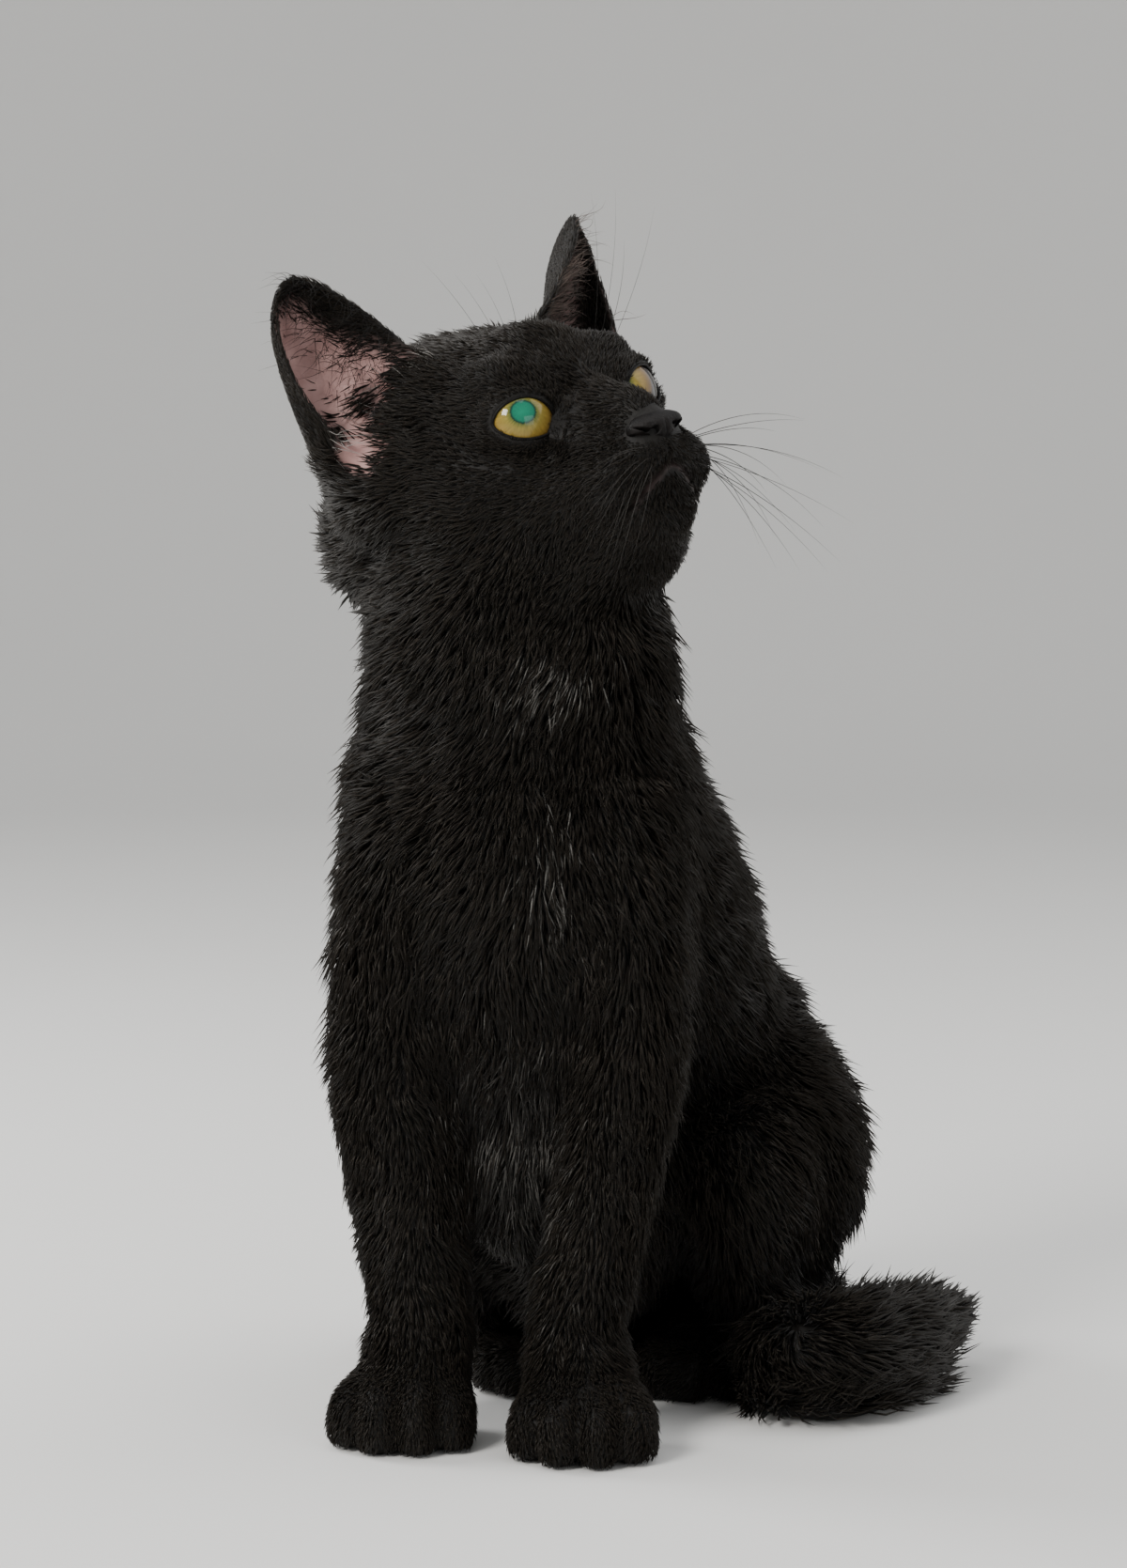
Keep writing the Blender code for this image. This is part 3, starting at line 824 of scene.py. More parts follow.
def notch_gap(at_head):
    """Distance from the middle line of the bare notch below either ear's opening."""
    at = mirrored(at_head)
    gap = np.full(len(at), np.inf)
    for first, last in zip(EAR_NOTCH, EAR_NOTCH[1:]):
        run = np.array(last) - first
        along = np.clip((at - first) @ run / (run @ run), 0, 1)
        gap = np.minimum(gap, lengths(at - first - along[:, None] * run))
    return gap


def faces_ahead(normals):
    """How much the head's skin looks out of the ears' openings, 0 to 1."""
    return ease(mirrored(turned_to_head(normals)) @ unit(np.array(NOTCH_WAY)), 0, 0.3)


def ear_bareness(ground):
    """How bare and pink the skin is inside the ears, 0 to 1."""
    start = 0.04 + 0.26 * ground.climb
    bare = ground.inside * ease(ground.reach, start - 0.08, start + 0.10)
    bare *= ease(1 - ground.reach, 0.05, 0.14) * ease(1 - ground.climb, 0.04, 0.22)
    by_ear = (ground.kinds == "head") | (ground.kinds == "ear")
    x, y, z = ground.at_head[by_ear].T
    behind = y + 8 * ease(z, 16, 20) * ease(np.abs(x), 29.5, 27.5)
    ahead = faces_ahead(ground.normals[by_ear]) * ease(behind, 22, 19.5)
    opens = np.where(ground.kinds[by_ear] == "ear", ease(ground.inside[by_ear], 0, 0.3), ahead)
    notch = ease(notch_gap(ground.at_head[by_ear]), 6.8, 5.2) * opens
    bare[by_ear] = np.maximum(bare[by_ear], notch)
    return relaxed(bare, ground.edges, 2)


BARE_RIGHT = 0.985
BARE_LEFT = 0.45


def hairiness(ground):
    """How much of its coat each vertex carries."""
    hairy = np.ones(len(ground.points))
    face = ground.at_head[:, 1] < -5
    gap = ground.eye_gap
    hairy *= np.where(face, ease(gap, 0.2, 0.6) * (1 + 0.9 * bump(gap, 3)), 1)
    gap = ground.nose_gap
    hairy *= np.where(face, ease(gap, 0.98, 1.06) * (1 + 0.8 * bump(gap - 1, 0.5)), 1)
    hairy *= 1 - ground.lip
    hairy *= 1 - np.where(ground.at_head[:, 0] < 0, BARE_RIGHT, BARE_LEFT) * ground.bare
    hairy[(ground.points[:, 2] < 3 * MM) & (ground.normals[:, 2] < -0.4)] = 0
    return hairy


# Whitish hairs: place across from the forelegs' middle and height, their spreads, share of tufts and paleness.
PALE_SPOTS = (
    ((3, 68), (12, 24), 0.80, 0.30),  # belly between the forelegs
    ((11.5, 138), (4.5, 12), 0.45, 0.5),  # whorl of the chest
    ((12, 184), (9, 7), 0.50, 0.45),  # throat
)


def spot_share(points, spot):
    """How far each point lies within a spot of the front, 0 to 1."""
    (across, height), (wide, tall) = spot[:2]
    middle = (centre("foreleg_left") + centre("foreleg_right")) / 2
    x = points[:, 0] - middle.x - across * MM
    z = points[:, 2] - height * MM
    front = ease(-points[:, 1], -middle.y - 0.06, -middle.y - 0.03)
    return np.exp(-((x / (wide * MM)) ** 2) - (z / (tall * MM)) ** 2) * front


def paleness(root):
    """How whitish each tuft is."""
    pale = np.zeros(len(root))
    for spot in PALE_SPOTS:
        chosen = RNG.random(len(root)) < spot[2] * spot_share(root, spot)
        pale = np.maximum(pale, chosen * spot[3] * RNG.uniform(0.5, 1, len(root)))
    return pale


def coat_roots(ground):
    """Tuft roots spread by their density: each one's triangle and its shares in it."""
    area = lengths(face_normals(ground.points, ground.triangles)) / 2
    wanted = area * (ground.density * ground.hairy)[ground.triangles].mean(1)
    wanted *= TUFTS / wanted.sum()
    reached = np.cumsum(wanted)
    count = int(reached[-1])
    face = np.searchsorted(reached, np.arange(count) + RNG.random(count))
    face = np.minimum(face, len(area) - 1)
    s, t = RNG.random((2, count))
    over = s + t > 1
    s[over], t[over] = 1 - s[over], 1 - t[over]
    return face, np.stack([1 - s - t, s, t], axis=1)


def clump_pull(root, size):
    """From each root to the middle of its clump."""
    cell = np.floor(root / (size * MM)).astype(np.int64)
    key = (cell[:, 0] * 73856093) ^ (cell[:, 1] * 19349663) ^ (cell[:, 2] * 83492791)
    offsets = np.random.default_rng(5).random((4096, 3))
    return (cell + 0.2 + 0.6 * offsets[key % 4096]) * (size * MM) - root


def settled(ground, points, height):
    """Points brought to a height over the skin."""
    spot, face, share = ground.nearest(points)
    return spot + unit(ground.carried(ground.normals, face, share)) * height[:, None]


CLUMP = 3.6
BEND_RISE = 0.66  # share of the coat's depth that a tuft has risen at its bend
ROOT_DEPTH = 0.3
PALE_WIDTH = 0.6


def coat_pieces(ground, material):
    """The coat, in pieces that follow the body's parts."""
    face, share = coat_roots(ground)

    def carried(values):
        return ground.carried(values, face, share)

    root = carried(ground.points)
    normal = unit(carried(ground.normals))
    lie = unit(along_skin(carried(ground.lie), normal))
    count = len(root)
    length = carried(ground.length) * RNG.uniform(0.72, 1.25, count) * MM
    length *= 1 + 0.7 * spot_share(root, PALE_SPOTS[0])
    depth = carried(ground.depth) * MM
    width = carried(ground.width) * RNG.uniform(0.7, 1.2, count) * 1 * MM

    sway = 0.20 * ripple(root, 34) + 0.16 * ripple(root, 9) + RNG.normal(0, 0.16, count)
    lie = unit(lie * np.cos(sway)[:, None] + np.cross(normal, lie) * np.sin(sway)[:, None])
    lift = 1 + 0.16 * ripple(root, 13) + RNG.normal(0, 0.16, count) + (RNG.random(count) < 0.06) * 0.5
    rise = depth * np.clip(lift, 0.45, 1.9)

    pull = along_skin(clump_pull(root, CLUMP), normal) * np.minimum(1, length / (8 * MM))[:, None]
    bend = root + lie * (length * 0.5)[:, None] + pull * 0.16 + normal * (rise * BEND_RISE)[:, None]
    tip = root + lie * length[:, None] + pull * 0.5 + normal * rise[:, None]
    bend = settled(ground, bend, rise * BEND_RISE) * 0.75 + bend * 0.25
    tip = settled(ground, tip, rise) * 0.68 + tip * 0.32
    start = root - normal * (ROOT_DEPTH * MM)

    pale = paleness(root)
    width *= np.where(pale > 0, PALE_WIDTH, 1)
    tone = np.clip(0.5 + 0.2 * ripple(root, 22) + RNG.normal(0, 0.22, count), 0, 1)
    tone *= 1 - 0.7 * carried((ground.kinds == "tail").astype(float))
    names = piece_names(ground, ground.triangles[face, 0])
    for name in sorted(set(names)):
        chosen = np.flatnonzero(names == name)
        parts = -(-len(chosen) // MOST_TUFTS_IN_PIECE)
        chosen = chosen[np.argsort(root[chosen, 2], kind="stable")]
        for number, part in enumerate(np.array_split(chosen, parts)):
            title = name if parts == 1 else f"{name}_{number + 1}"
            maps = coat_map(ground.guide, root[part])
            piece = tuft_mesh(title, start[part], bend[part], tip[part], normal[part], width[part], maps)
            attribute(piece.data, "pale", np.repeat(pale[part], TUFT_POINTS))
            attribute(piece.data, "tone", np.repeat(tone[part], TUFT_POINTS))
            attribute(piece.data, "along", np.tile([0, 0, 0, 0.5, 0.5, 0.5, 1], len(part)))
            finish_piece(piece, material)


PIECE_OF_KIND = {"barrel": "back", "ear": "ears", "foreleg": "forelegs", "forepaw": "paws", "hindfoot": "paws"}


def piece_names(ground, vertex):
    """The name of the coat piece that each of the vertices belongs to."""
    pieces = [name if "thigh" in name else PIECE_OF_KIND.get(KIND[name], KIND[name]) for name in FLESH]
    names = np.array(["coat_" + piece for piece in pieces])[ground.owners[vertex]]
    names[(names == "coat_head") & (ground.at_head[vertex, 1] <= -12)] = "coat_face"
    return names


def coat_map(guide, roots):
    """Each root's place on an unwrap of the skin under its piece."""
    _, face, share = guide.nearest(roots)
    used, index = np.unique(face, return_inverse=True)
    kept, renumbered = np.unique(guide.triangles[used], return_inverse=True)
    obj = solid("unwrap", guide.points[kept], renumbered.reshape(-1, 3).tolist())
    bpy.context.view_layer.objects.active = obj
    bpy.ops.object.mode_set(mode="EDIT")
    bpy.ops.mesh.select_all(action="SELECT")
    bpy.ops.uv.smart_project(angle_limit=math.radians(66), island_margin=0.01)
    bpy.ops.object.mode_set(mode="OBJECT")
    corners = read(obj.data.uv_layers[0].data, "uv", 2, np.float32).reshape(-1, 3, 2).astype(float)[index]
    bpy.data.meshes.remove(obj.data)
    return (corners * share[:, :, None]).sum(1) * 0.99 + 0.005


# ---- eyes, lids' rims and nose


def around(count):
    return np.linspace(0, 2 * math.pi, count, endpoint=False)


def gridded(name, points):
    """A mesh over a grid of points, its last column joined to the first."""
    index = np.arange(points[..., 0].size).reshape(points.shape[:2])
    after = np.roll(index, -1, axis=1)
    quads = np.stack([index[:-1], after[:-1], after[1:], index[1:]], axis=-1).reshape(-1, 4)
    return solid(name, points, quads.tolist())


def ball_grid(rows, columns):
    """Directions over a ball, poles on y, from the front (-y) to the back."""
    down = np.linspace(0.002, math.pi - 0.002, rows)[:, None]
    turn = around(columns)[None]
    y = -np.cos(down) * np.ones_like(turn)
    return np.stack([np.sin(down) * np.cos(turn), y, -np.sin(down) * np.sin(turn)], axis=-1)


def close_grid(obj):
    """Welds what a grid doubles, closes its poles and turns its normals out."""
    with edited(obj.data) as made:
        bmesh.ops.remove_doubles(made, verts=made.verts, dist=1e-7)
        bmesh.ops.holes_fill(made, edges=[edge for edge in made.edges if edge.is_boundary], sides=0)
        bmesh.ops.recalc_face_normals(made, faces=made.faces)
    obj.data.shade_smooth()


GAZE_TURN = {1: 37, -1: 22}  # how far each eye looks to the kitten's right, in degrees
GAZE_RISE = 11.3
PUPIL_RADII = (3, 2.75)
CORNEA_RISE = 0.30


def gaze_turn(sign):
    """The turn, in the head's own frame, that takes -y to the way an eye looks."""
    turn = math.radians(GAZE_TURN[sign])
    rise = math.radians(GAZE_RISE)
    back = Vector((math.sin(turn) * math.cos(rise), math.cos(turn) * math.cos(rise), -math.sin(rise)))
    across = back.cross(Vector((0, 0, 1))).normalized()
    return Matrix((across, back, across.cross(back))).transposed()


def eyeball(name, sign, material):
    """A whole eyeball with the bulge of its cornea, and the gaze's own directions for its colours."""
    local = ball_grid(70, 96)
    points = local * (EYE_RADIUS + CORNEA_RISE * ease(-local[..., 1], 0.72, 0.97))[..., None]
    in_eye = points @ np.array(gaze_turn(sign)).T + np.array(eye_at(sign))
    obj = gridded(name + "_ball", placed(in_eye, HEAD))
    attribute(obj.data, "gaze", local * EYE_RADIUS, "FLOAT_VECTOR")
    close_grid(obj)
    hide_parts(name)
    finish_piece(obj, material)


RIM_RADII = (0.38, 0.36)
RIM_RISE = 0.42


def lid_rims(material):
    """The bare dark rims of the lids, close to the eyeballs."""
    for sign, title in zip(SIDES, ("lid_rim_left", "lid_rim_right")):
        flat = lid_loop(sign, 200)
        for _ in range(3):
            flat = (np.roll(flat, 1, 0) + flat * 2 + np.roll(flat, -1, 0)) / 4
        line = on_eyeball(flat, EYE_RADIUS + RIM_RISE)
        out = unit(line)
        side = np.cross(unit(np.roll(line, -1, 0) - np.roll(line, 1, 0)), out)
        turn = around(12)[:, None, None]
        grid = line[None] + RIM_RADII[0] * np.cos(turn) * side + RIM_RADII[1] * np.sin(turn) * out
        world = placed(grid, eye_frame(sign))
        obj = gridded(title, np.concatenate([world, world[:1]]))
        close_grid(obj)
        finish_piece(obj, material)


def nose_piece(material):
    """The nose's bare leather, with a groove, two comma-shaped nostrils and a mask for the nostrils' painted
    shade.
    """
    grid = ball_grid(150, 200)
    local = grid.reshape(-1, 3)
    wide, deep, tall = NOSE_RADII
    x, y, z = local.T
    taper = np.interp(z, (-1, -0.55, -0.1, 0.45, 1), (0.30, 0.48, 0.98, 1, 0.9))
    height = np.where(z > 0, 0.80, 1.02)
    at = np.stack([x * wide * taper, y * (deep + 0.5), z * tall * height], axis=1)
    at[:, 1] += 1.1 * np.maximum(z, 0) ** 2 * (y < 0)
    front = ease(-y, 0, 0.35)
    groove = 0.5 * bump(at[:, 0], 0.42) * ease(-at[:, 2], -1.8, 1.6)
    nostril = np.zeros(len(at))
    for sign in SIDES:
        u = at[:, 0] * sign
        curve = at[:, 2] + 1.1 - 0.10 * (u - 3) ** 2
        hole = ((u - 3.1) / 1.15) ** 2 + (curve / 0.85) ** 2
        slit = ((u - 5) / 2.3) ** 2 + (curve / 0.42) ** 2
        nostril = np.maximum(nostril, np.maximum(np.exp(-(hole**2)), 0.8 * np.exp(-(slit**2))))
    at[:, 1] += front * (groove + 2 * nostril)
    wing = sum(bump(np.hypot(at[:, 0] * sign - 5, at[:, 2] - 0.7), 1.7) for sign in SIDES)
    at[:, 1] -= front * 0.45 * wing
    obj = gridded("nose_leather", placed(at + np.array(NOSE_AT), HEAD).reshape(grid.shape))
    # The hole mask darkens the leather's colour in the nostrils: painted shade inside them.
    attribute(obj.data, "hole", front * nostril)
    close_grid(obj)
    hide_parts("nose")
    finish_piece(obj, material)


# ---- single hairs


def strands(name, routes, radii, sides, material):
    """One mesh of tapered hairs, from rows of points in the head's frame and root radii."""
    routes = placed(routes, HEAD)
    count, steps = routes.shape[:2]
    ahead = unit(np.gradient(routes, axis=1))
    side = unit(np.cross(ahead, np.array([0.31, 0.22, 0.93])))
    up = np.cross(side, ahead)
    taper = (1 - np.linspace(0, 1, steps) ** 1.6) * 0.93 + 0.07
    turn = around(sides)[:, None]
    ring = np.cos(turn) * side[:, :, None, :] + np.sin(turn) * up[:, :, None, :]
    points = routes[:, :, None, :] + ring * (radii[:, None] * MM * taper)[:, :, None, None]
    index = np.arange(count * steps * sides).reshape(count, steps, sides)
    after = np.roll(index, -1, axis=2)
    quads = np.stack([index[:, :-1], after[:, :-1], after[:, 1:], index[:, 1:]], axis=-1).reshape(-1, 4)
    ends = np.concatenate([index[:, 0, ::-1], index[:, -1]])
    finish_piece(solid(name, points, quads.tolist() + ends.tolist()), material)


def bowed(start, end, droop, steps=14):
    """A bowed route between two points of the head's frame, sagging by droop."""
    t = np.linspace(0, 1, steps)[:, None]
    return np.array(start) * (1 - t) + np.array(end) * t + np.array(droop) * (4 * t * (1 - t))


# Each whisker row's height on the pad and its count, then each side's whisker lengths and root radii.
WHISKER_ROWS = ((-11, 3), (-13.6, 4), (-16.2, 5), (-18.8, 4))
WHISKERS = {1: ((34, 48), (0.080, 0.115)), -1: ((22, 31), (0.060, 0.085))}
BROW_WHISKERS = (4, (26, 40), (0.05, 0.075))
HAIR_DEPTH = 1.2


def whiskers(ground, looks):
    """Whiskers from both pads and a few over each eye, each side one piece."""

    def rooted(spot):
        return HEAD.inverted() @ ground.tree.find_nearest(HEAD @ Vector(spot))[0]

    for sign, title, look in zip(SIDES, ("whiskers_left", "whiskers_right"), looks):
        routes, radii = [], []
        reaches, thicknesses = WHISKERS[sign]
        for row, (z, count) in enumerate(WHISKER_ROWS):
            for k in range(count):
                root = rooted(((6.8 + 2.1 * k + 0.5 * (row % 2)) * sign, -54 + 1.3 * k, z))
                reach = RNG.uniform(*reaches) * (1 - 0.06 * k)
                way = Vector((sign * (0.80 - 0.06 * k), -0.20 + 0.13 * k, 0.04 - 0.25 * row)).normalized()
                sag = (RNG.normal(0, 0.6), RNG.normal(0, 0.6) - 2, RNG.uniform(1, 3.2))
                start = root - way * HAIR_DEPTH
                routes.append(bowed(start, start + way * reach + Vector((0, 3, -5.5)), sag))
                radii.append(RNG.uniform(*thicknesses))
        count, reaches, thicknesses = BROW_WHISKERS
        for k in range(count):
            way = Vector((sign * (0.12 + 0.16 * k), -0.42, 0.9)).normalized()
            start = rooted((sign * (11.5 + 2.2 * k), -24, 16.5)) - way * HAIR_DEPTH
            end = start + way * RNG.uniform(*reaches) + Vector((0, 5, 0))
            routes.append(bowed(start, end, (0, -2.2, 0)))
            radii.append(RNG.uniform(*thicknesses))
        strands(title, np.array(routes), np.array(radii), 5, look)


# The hairs inside an ear: the ear, how many, where their roots lie (height, its spread, place across, its
# spread), their least and greatest length, and how far they run outward and upward for that length.
EAR_HAIRS = (
    ("ear_right_hairs", "ear_right", 330, (0.52, 0.42, 0.20, 0.20), (7, 15), (0.30, 1), (-0.50, 0.55)),
    ("ear_left_hairs", "ear_left", 300, (0.45, 0.45, 0.25, 0.35), (6, 13), (0.35, 0.95), (-0.15, 0.75)),
    ("ear_right_base", "ear_right", 90, (0.08, 0.08, 0.45, 0.30), (6, 12), (-0.55, 0.25), (-0.90, -0.30)),
)


def ear_hairs(ground, looks):
    """The fine hairs that cross each ear's opening, and those at its base."""
    for row, look in zip(EAR_HAIRS, looks):
        name, ear, count, (height, tall, place, wide), long_range, out_range, up_range = row
        opening, up, across = ear_ways(ear)
        spots = np.flatnonzero((ground.owners == FLESH.index(ear)) & (ground.inside > 0.5))
        weight = bump(ground.climb[spots] - height, tall) * bump(ground.reach[spots] - place, wide)
        chosen = RNG.choice(spots, count, p=weight / weight.sum())
        root = ground.at_head[chosen] - opening * 0.2
        t = np.linspace(0, 1, 12)[None, :, None]
        ranges = (long_range, out_range, up_range, (0.20, 0.45))
        long, outward, upward, rise = (RNG.uniform(*between, (count, 1, 1)) for between in ranges)
        curl = unit(RNG.normal(size=(count, 1, 3))) * RNG.uniform(0.4, 2, (count, 1, 1))
        route = root[:, None] + across * outward * long * t + up * upward * long * t
        route = route + opening * rise * long * np.sin(t * 1.9) + curl * np.sin(t * math.pi * 1.4) * t
        strands(name, route, RNG.uniform(0.060, 0.095, count), 3, look)


# ---- materials


# The sockets that a Mix node uses for colours: its share, its two colours and its result.
MIX_COLOUR_INPUTS = (0, 6, 7)
MIX_COLOUR_OUTPUT = 2


class Look:
    """A Principled material and short ways to wire it."""

    def __init__(self, name, **values):
        self.material = bpy.data.materials.new(name)
        self.material.use_nodes = True
        self.shader = self.material.node_tree.nodes["Principled BSDF"]
        for socket, value in values.items():
            self.shader.inputs[socket.replace("_", " ")].default_value = value

    def wire(self, source, target):
        self.material.node_tree.links.new(source, target)

    def node(self, kind, inputs, **settings):
        """A new node, its settings made and its inputs set or wired."""
        node = self.material.node_tree.nodes.new("ShaderNode" + kind)
        for setting, value in settings.items():
            setattr(node, setting, value)
        for socket, value in inputs.items():
            if isinstance(value, bpy.types.NodeSocket):
                self.wire(value, node.inputs[socket])
            else:
                node.inputs[socket].default_value = (*value, 1) if isinstance(value, tuple) else value
        return node

    def value(self, name, output="Fac"):
        return self.node("Attribute", {}, attribute_name=name).outputs[output]

    def place(self):
        return self.node("TexCoord", {}).outputs["Object"]

    def noise(self, scale, detail=3, source=None):
        inputs = {"Scale": scale, "Detail": detail, "Vector": source or self.place()}
        return self.node("TexNoise", inputs).outputs["Fac"]

    def cells(self, scale):
        return self.node("TexVoronoi", {"Scale": scale, "Vector": self.place()}).outputs["Distance"]

    def ramp(self, source, *stops):
        node = self.node("ValToRGB", {"Fac": source})
        elements = node.color_ramp.elements
        elements.remove(elements[1])
        for index, (position, colour) in enumerate(stops):
            element = elements[0] if index == 0 else elements.new(position)
            element.position = position
            element.color = (*colour, 1)
        return node.outputs["Color"]

    def mottled(self, scale, dark, light, detail=3):
        return self.ramp(self.noise(scale, detail), (0.3, dark), (0.7, light))

    def mix(self, share, first, second, blend="MIX"):
        inputs = dict(zip(MIX_COLOUR_INPUTS, (share, first, second)))
        return self.node("Mix", inputs, data_type="RGBA", blend_type=blend).outputs[MIX_COLOUR_OUTPUT]

    def math(self, operation, *sources):
        return self.node("Math", dict(enumerate(sources)), operation=operation).outputs["Value"]

    def bumped(self, height, strength, distance):
        node = self.node("Bump", {"Strength": strength, "Distance": distance, "Height": height})
        self.wire(node.outputs["Normal"], self.shader.inputs["Normal"])

    def coloured(self, colour):
        """The material, with this base colour."""
        self.wire(colour, self.shader.inputs["Base Color"])
        return self.material


def mottled_look(name, roughness, specular, scale, dark, light, detail=3):
    look = Look(name, Roughness=roughness, Specular_IOR_Level=specular)
    return look.coloured(look.mottled(scale, dark, light, detail))


def skin_look():
    look = Look("kitten_skin", Roughness=0.6, Specular_IOR_Level=0.2)
    dark = look.mottled(420, (0.003, 0.0025, 0.002), (0.007, 0.0058, 0.0047))
    pink = look.mottled(160, (0.31, 0.175, 0.162), (0.52, 0.33, 0.305), 4)
    lip = look.mottled(300, (0.018, 0.012, 0.011), (0.042, 0.028, 0.026))
    look.bumped(look.noise(900, 5), 0.35, 0.0006)
    # Where the pink mask is weaker, as on the left ear, the ear's inside falls toward the dark skin: painted
    # shade.
    return look.coloured(look.mix(look.value("lip"), look.mix(look.value("pink"), dark, pink), lip))


def coat_look():
    look = Look("kitten_coat", Roughness=0.46, Specular_IOR_Level=0.15, Sheen_Weight=0.03, Sheen_Roughness=0.4)
    look.shader.inputs["Specular Tint"].default_value = (1, 0.90, 0.78, 1)
    black = look.ramp(look.value("tone"), (0, (0.0022, 0.0017, 0.0012)), (1, (0.0085, 0.0066, 0.0050)))
    tipped = look.mix(look.math("MULTIPLY", look.value("along"), 0.3), black, (0.012, 0.0098, 0.0078))
    grain = look.mottled(1500, (0.14, 0.135, 0.125), (0.34, 0.33, 0.31), 2)
    return look.coloured(look.mix(look.value("pale"), tipped, grain))


def eye_look():
    """The pupil painted teal-green as painted eyeshine, a reflection of the light from the back of the eye; the
    iris with its fibres and its dark edge; all by distance from the gaze.
    """
    look = Look("kitten_eye", Roughness=0.045, Specular_IOR_Level=0.3)
    parts = look.node("SeparateXYZ", {0: look.value("gaze", "Vector")}).outputs
    x, y, z = (parts[k] for k in ("X", "Y", "Z"))
    stretched = look.math("MULTIPLY", z, PUPIL_RADII[0] / PUPIL_RADII[1])
    reach = look.math("SQRT", look.math("ADD", look.math("POWER", x, 2), look.math("POWER", stretched, 2)))
    angle = look.math("ARCTAN2", z, x)
    spokes = {0: look.math("MULTIPLY", angle, 9), 1: look.math("MULTIPLY", reach, 0.45)}
    fibres = look.noise(1.3, 5, look.node("CombineXYZ", spokes).outputs[0])
    wobble = look.math("ADD", reach, look.math("MULTIPLY", look.math("SUBTRACT", fibres, 0.5), 0.7))
    edge = PUPIL_RADII[0] / 10
    # The first stops paint the pupil teal-green: painted eyeshine, a painted reflection of the light off the
    # back of the eye.
    rings = look.ramp(
        look.math("DIVIDE", wobble, 10),
        (0, (0.012, 0.200, 0.115)),
        (edge - 0.06, (0.010, 0.150, 0.090)),
        (edge - 0.01, (0.004, 0.030, 0.022)),
        (edge + 0.02, (0.10, 0.12, 0.028)),
        (0.42, (0.25, 0.20, 0.045)),
        (0.62, (0.27, 0.18, 0.036)),
        (0.79, (0.14, 0.075, 0.018)),
        (0.85, (0.012, 0.008, 0.006)),
        (0.93, (0.016, 0.010, 0.008)),
    )
    shade = look.ramp(fibres, (0.25, (0.35, 0.33, 0.30)), (0.75, (1, 1, 1)))
    iris = look.mix(0.55, rings, shade, "MULTIPLY")
    return look.coloured(look.mix(look.math("LESS_THAN", y, 0), (0.02, 0.012, 0.01), iris))


def leather_look():
    look = Look("kitten_nose", Roughness=0.5, Specular_IOR_Level=0.12)
    tone = look.mottled(500, (0.003, 0.0025, 0.0024), (0.008, 0.0065, 0.006), 4)
    look.bumped(look.cells(2600), 0.45, 0.0002)
    # The nostrils are painted near black: painted shade inside them.
    return look.coloured(look.mix(look.value("hole"), tone, (0.001, 0.0008, 0.0008)))


def hair_look(name, dark, light):
    return mottled_look(name, 0.5, 0.2, 240, dark, light, 2)


# ---- stage, lights and camera

STAGE_RADIUS = 2.2
STAGE_CURVE = 0.9
STAGE_COLOUR = np.array((0.68, 0.675, 0.66))


def stage():
    """A pale round floor that curves up on every side, well outside every camera."""
    turns = np.radians(np.linspace(0, 90, 25))
    radii = np.append([0, 0.6], STAGE_RADIUS - STAGE_CURVE * (1 - np.sin(turns)))
    heights = np.append([0, 0], STAGE_CURVE * (1 - np.cos(turns)))
    turn = around(96)
    rings = (np.outer(radii, np.cos(turn)), np.outer(radii, np.sin(turn)), np.outer(heights, np.ones(96)))
    obj = gridded("floor", np.stack(rings, axis=-1))
    obj.data.materials.append(mottled_look("pale_floor", 0.8, 0.2, 6, STAGE_COLOUR * 0.985, STAGE_COLOUR, 2))


VIEW_TURN = math.radians(8)
VIEW_DISTANCE = 1.09569
VIEW_HEIGHT = 0.275
VIEW_SIDE = 0.0161
VIEW_PITCH = math.radians(6.15)
LENS = 109.14

# Each light's place from the aim (towards the camera, to its right, up), its size, its power and its colour.
LIGHTS = {
    "key": ((1.1, -0.85, 1), (0.5, 0.5), 30, (1, 0.98, 0.95)),
    "fill": ((1.3, 1.2, 0.4), (0.9, 0.9), 6.2, (0.95, 0.97, 1)),
    "rim_left": ((-0.33, -0.75, 0.45), (0.3, 0.8), 8, (1, 1, 1)),
    "rim_right": ((-0.33, 0.75, 0.5), (0.8, 1.1), 4, (1, 1, 1)),
    "top": ((0, 0, 1.3), (1, 1), 7, (1, 1, 1)),
}
AIM_BEHIND_PAWS = 0.05
AIM_HEIGHT = 0.15
SKY_COLOUR = (0.86, 0.87, 0.88, 1)
SKY_STRENGTH = 0.55


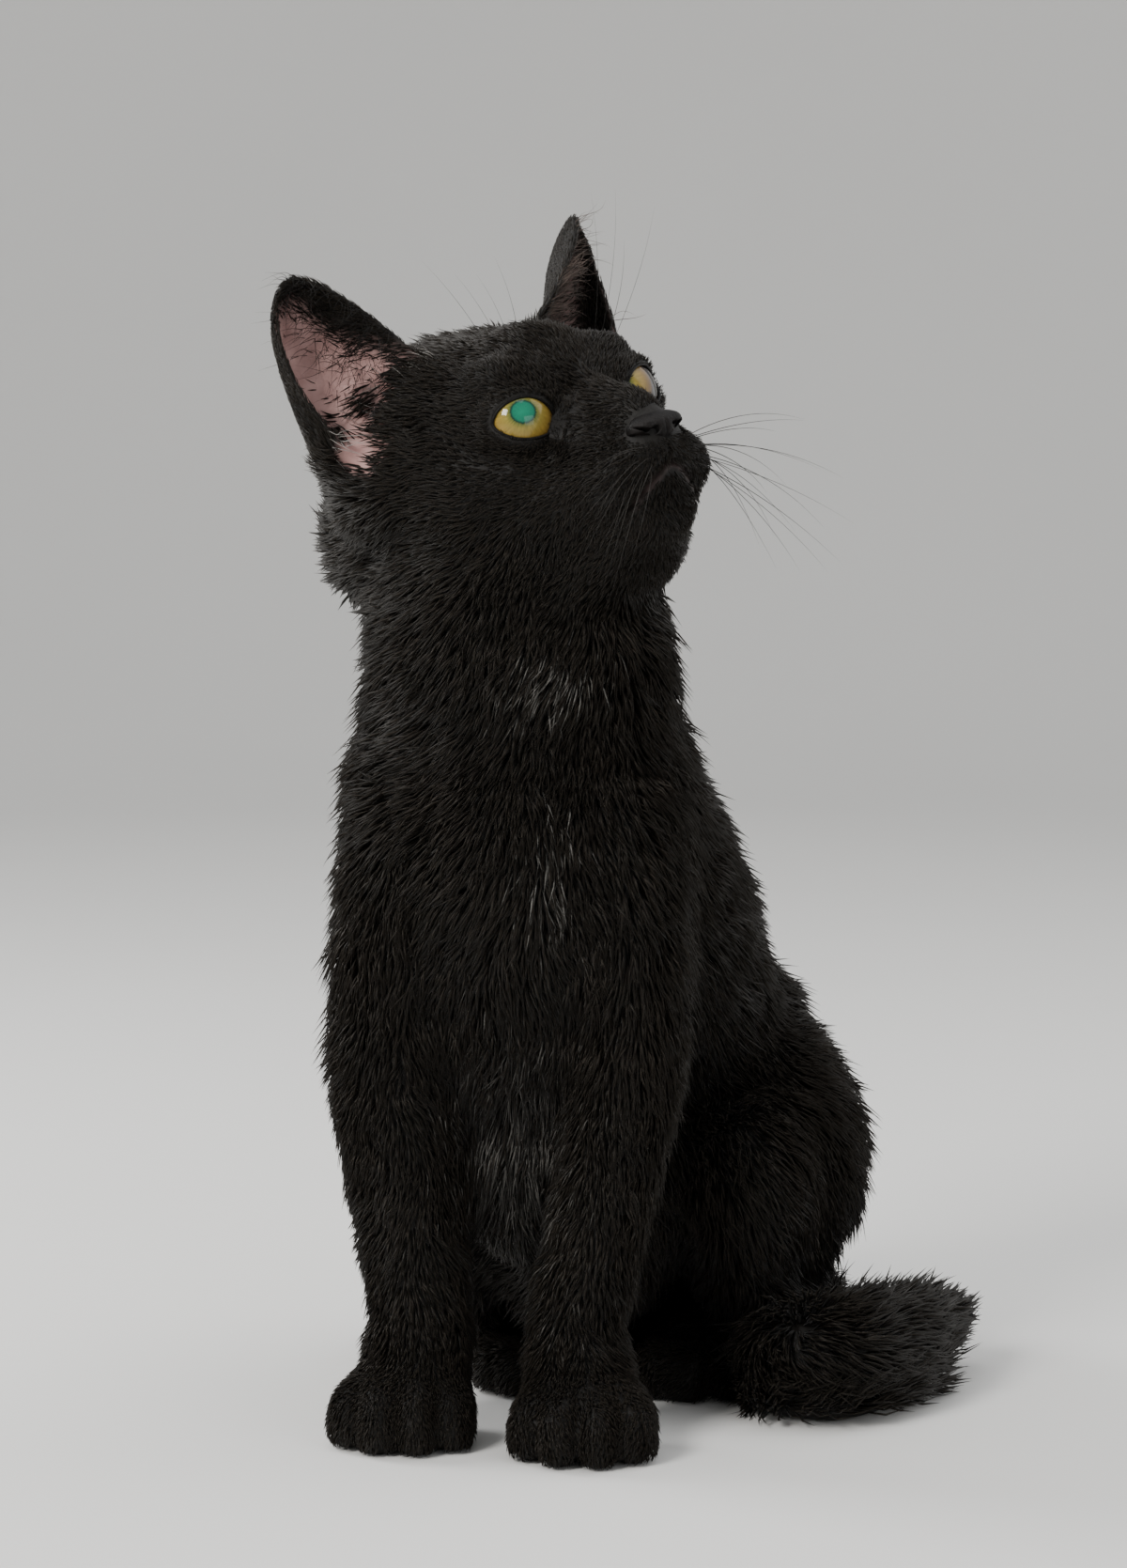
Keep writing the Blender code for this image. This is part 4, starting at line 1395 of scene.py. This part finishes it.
def camera_and_lights():
    paws = (centre("forepaw_left") + centre("forepaw_right")) / 2
    back = Vector((math.sin(VIEW_TURN), -math.cos(VIEW_TURN), 0))
    right = Vector((math.cos(VIEW_TURN), math.sin(VIEW_TURN), 0))
    up = Vector((0, 0, 1))
    camera = bpy.data.cameras.new("camera")
    camera.lens = LENS
    camera.sensor_width = 36
    obj = new_object("camera", camera)
    obj.location = paws + back * VIEW_DISTANCE + right * VIEW_SIDE
    obj.location.z = VIEW_HEIGHT
    ahead = -back * math.cos(VIEW_PITCH) - up * math.sin(VIEW_PITCH)
    obj.rotation_euler = ahead.to_track_quat("-Z", "Y").to_euler()
    bpy.context.scene.camera = obj

    aim = Vector((paws.x, paws.y + AIM_BEHIND_PAWS, AIM_HEIGHT))
    for name, ((behind, beside, above), size, power, colour) in LIGHTS.items():
        light = bpy.data.lights.new(name, "AREA")
        light.shape = "RECTANGLE"
        light.size, light.size_y = size
        light.energy = power
        light.color = colour
        way = back * behind + right * beside + up * above
        obj = new_object(name, light)
        obj.location = aim + way
        obj.rotation_euler = (-way).to_track_quat("-Z", "Y").to_euler()
        obj.visible_camera = False
    world = bpy.data.worlds.new("soft")
    world.use_nodes = True
    sky = world.node_tree.nodes["Background"]
    sky.inputs["Color"].default_value = SKY_COLOUR
    sky.inputs["Strength"].default_value = SKY_STRENGTH
    bpy.context.scene.world = world


# ---- the whole

# Share of the ears' pink that the left ear keeps: the rest is painted shade, darkening that ear's inside toward
# the dark skin.
LEFT_EAR_PINK_UNDER_PAINTED_SHADE = 0.4


def main():
    surface = node_surface()
    skin = skin_made(surface)
    guide = new_object("guide", skin.data.copy())
    decimate(guide, GUIDE_TRIANGLES)
    ground = Ground(skin.data, surface, guide.data)
    bpy.data.objects.remove(guide)
    # The left ear's pink is weakened: painted shade inside that ear.
    attribute(skin.data, "pink", ground.bare * np.where(ground.at_head[:, 0] > 0, LEFT_EAR_PINK_UNDER_PAINTED_SHADE, 1))
    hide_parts(*FLESH)
    finish_piece(skin, skin_look())
    coat_pieces(ground, coat_look())
    eye = eye_look()
    eyeball("eye_left", 1, eye)
    eyeball("eye_right", -1, eye)
    lid_rims(mottled_look("kitten_lid_rim", 0.45, 0.12, 700, (0.0015, 0.0012, 0.001), (0.005, 0.004, 0.0036)))
    nose_piece(leather_look())
    dark = hair_look("dark_hair", (0.003, 0.0026, 0.0022), (0.010, 0.0085, 0.007))
    grey = hair_look("grey_hair", (0.010, 0.009, 0.008), (0.030, 0.026, 0.022))
    brown = hair_look("brown_hair", (0.040, 0.030, 0.025), (0.110, 0.080, 0.066))
    light = hair_look("light_hair", (0.18, 0.17, 0.155), (0.36, 0.34, 0.32))
    whiskers(ground, (dark, grey))
    ear_hairs(ground, (dark, brown, light))
    camera_and_lights()
    stage()


main()
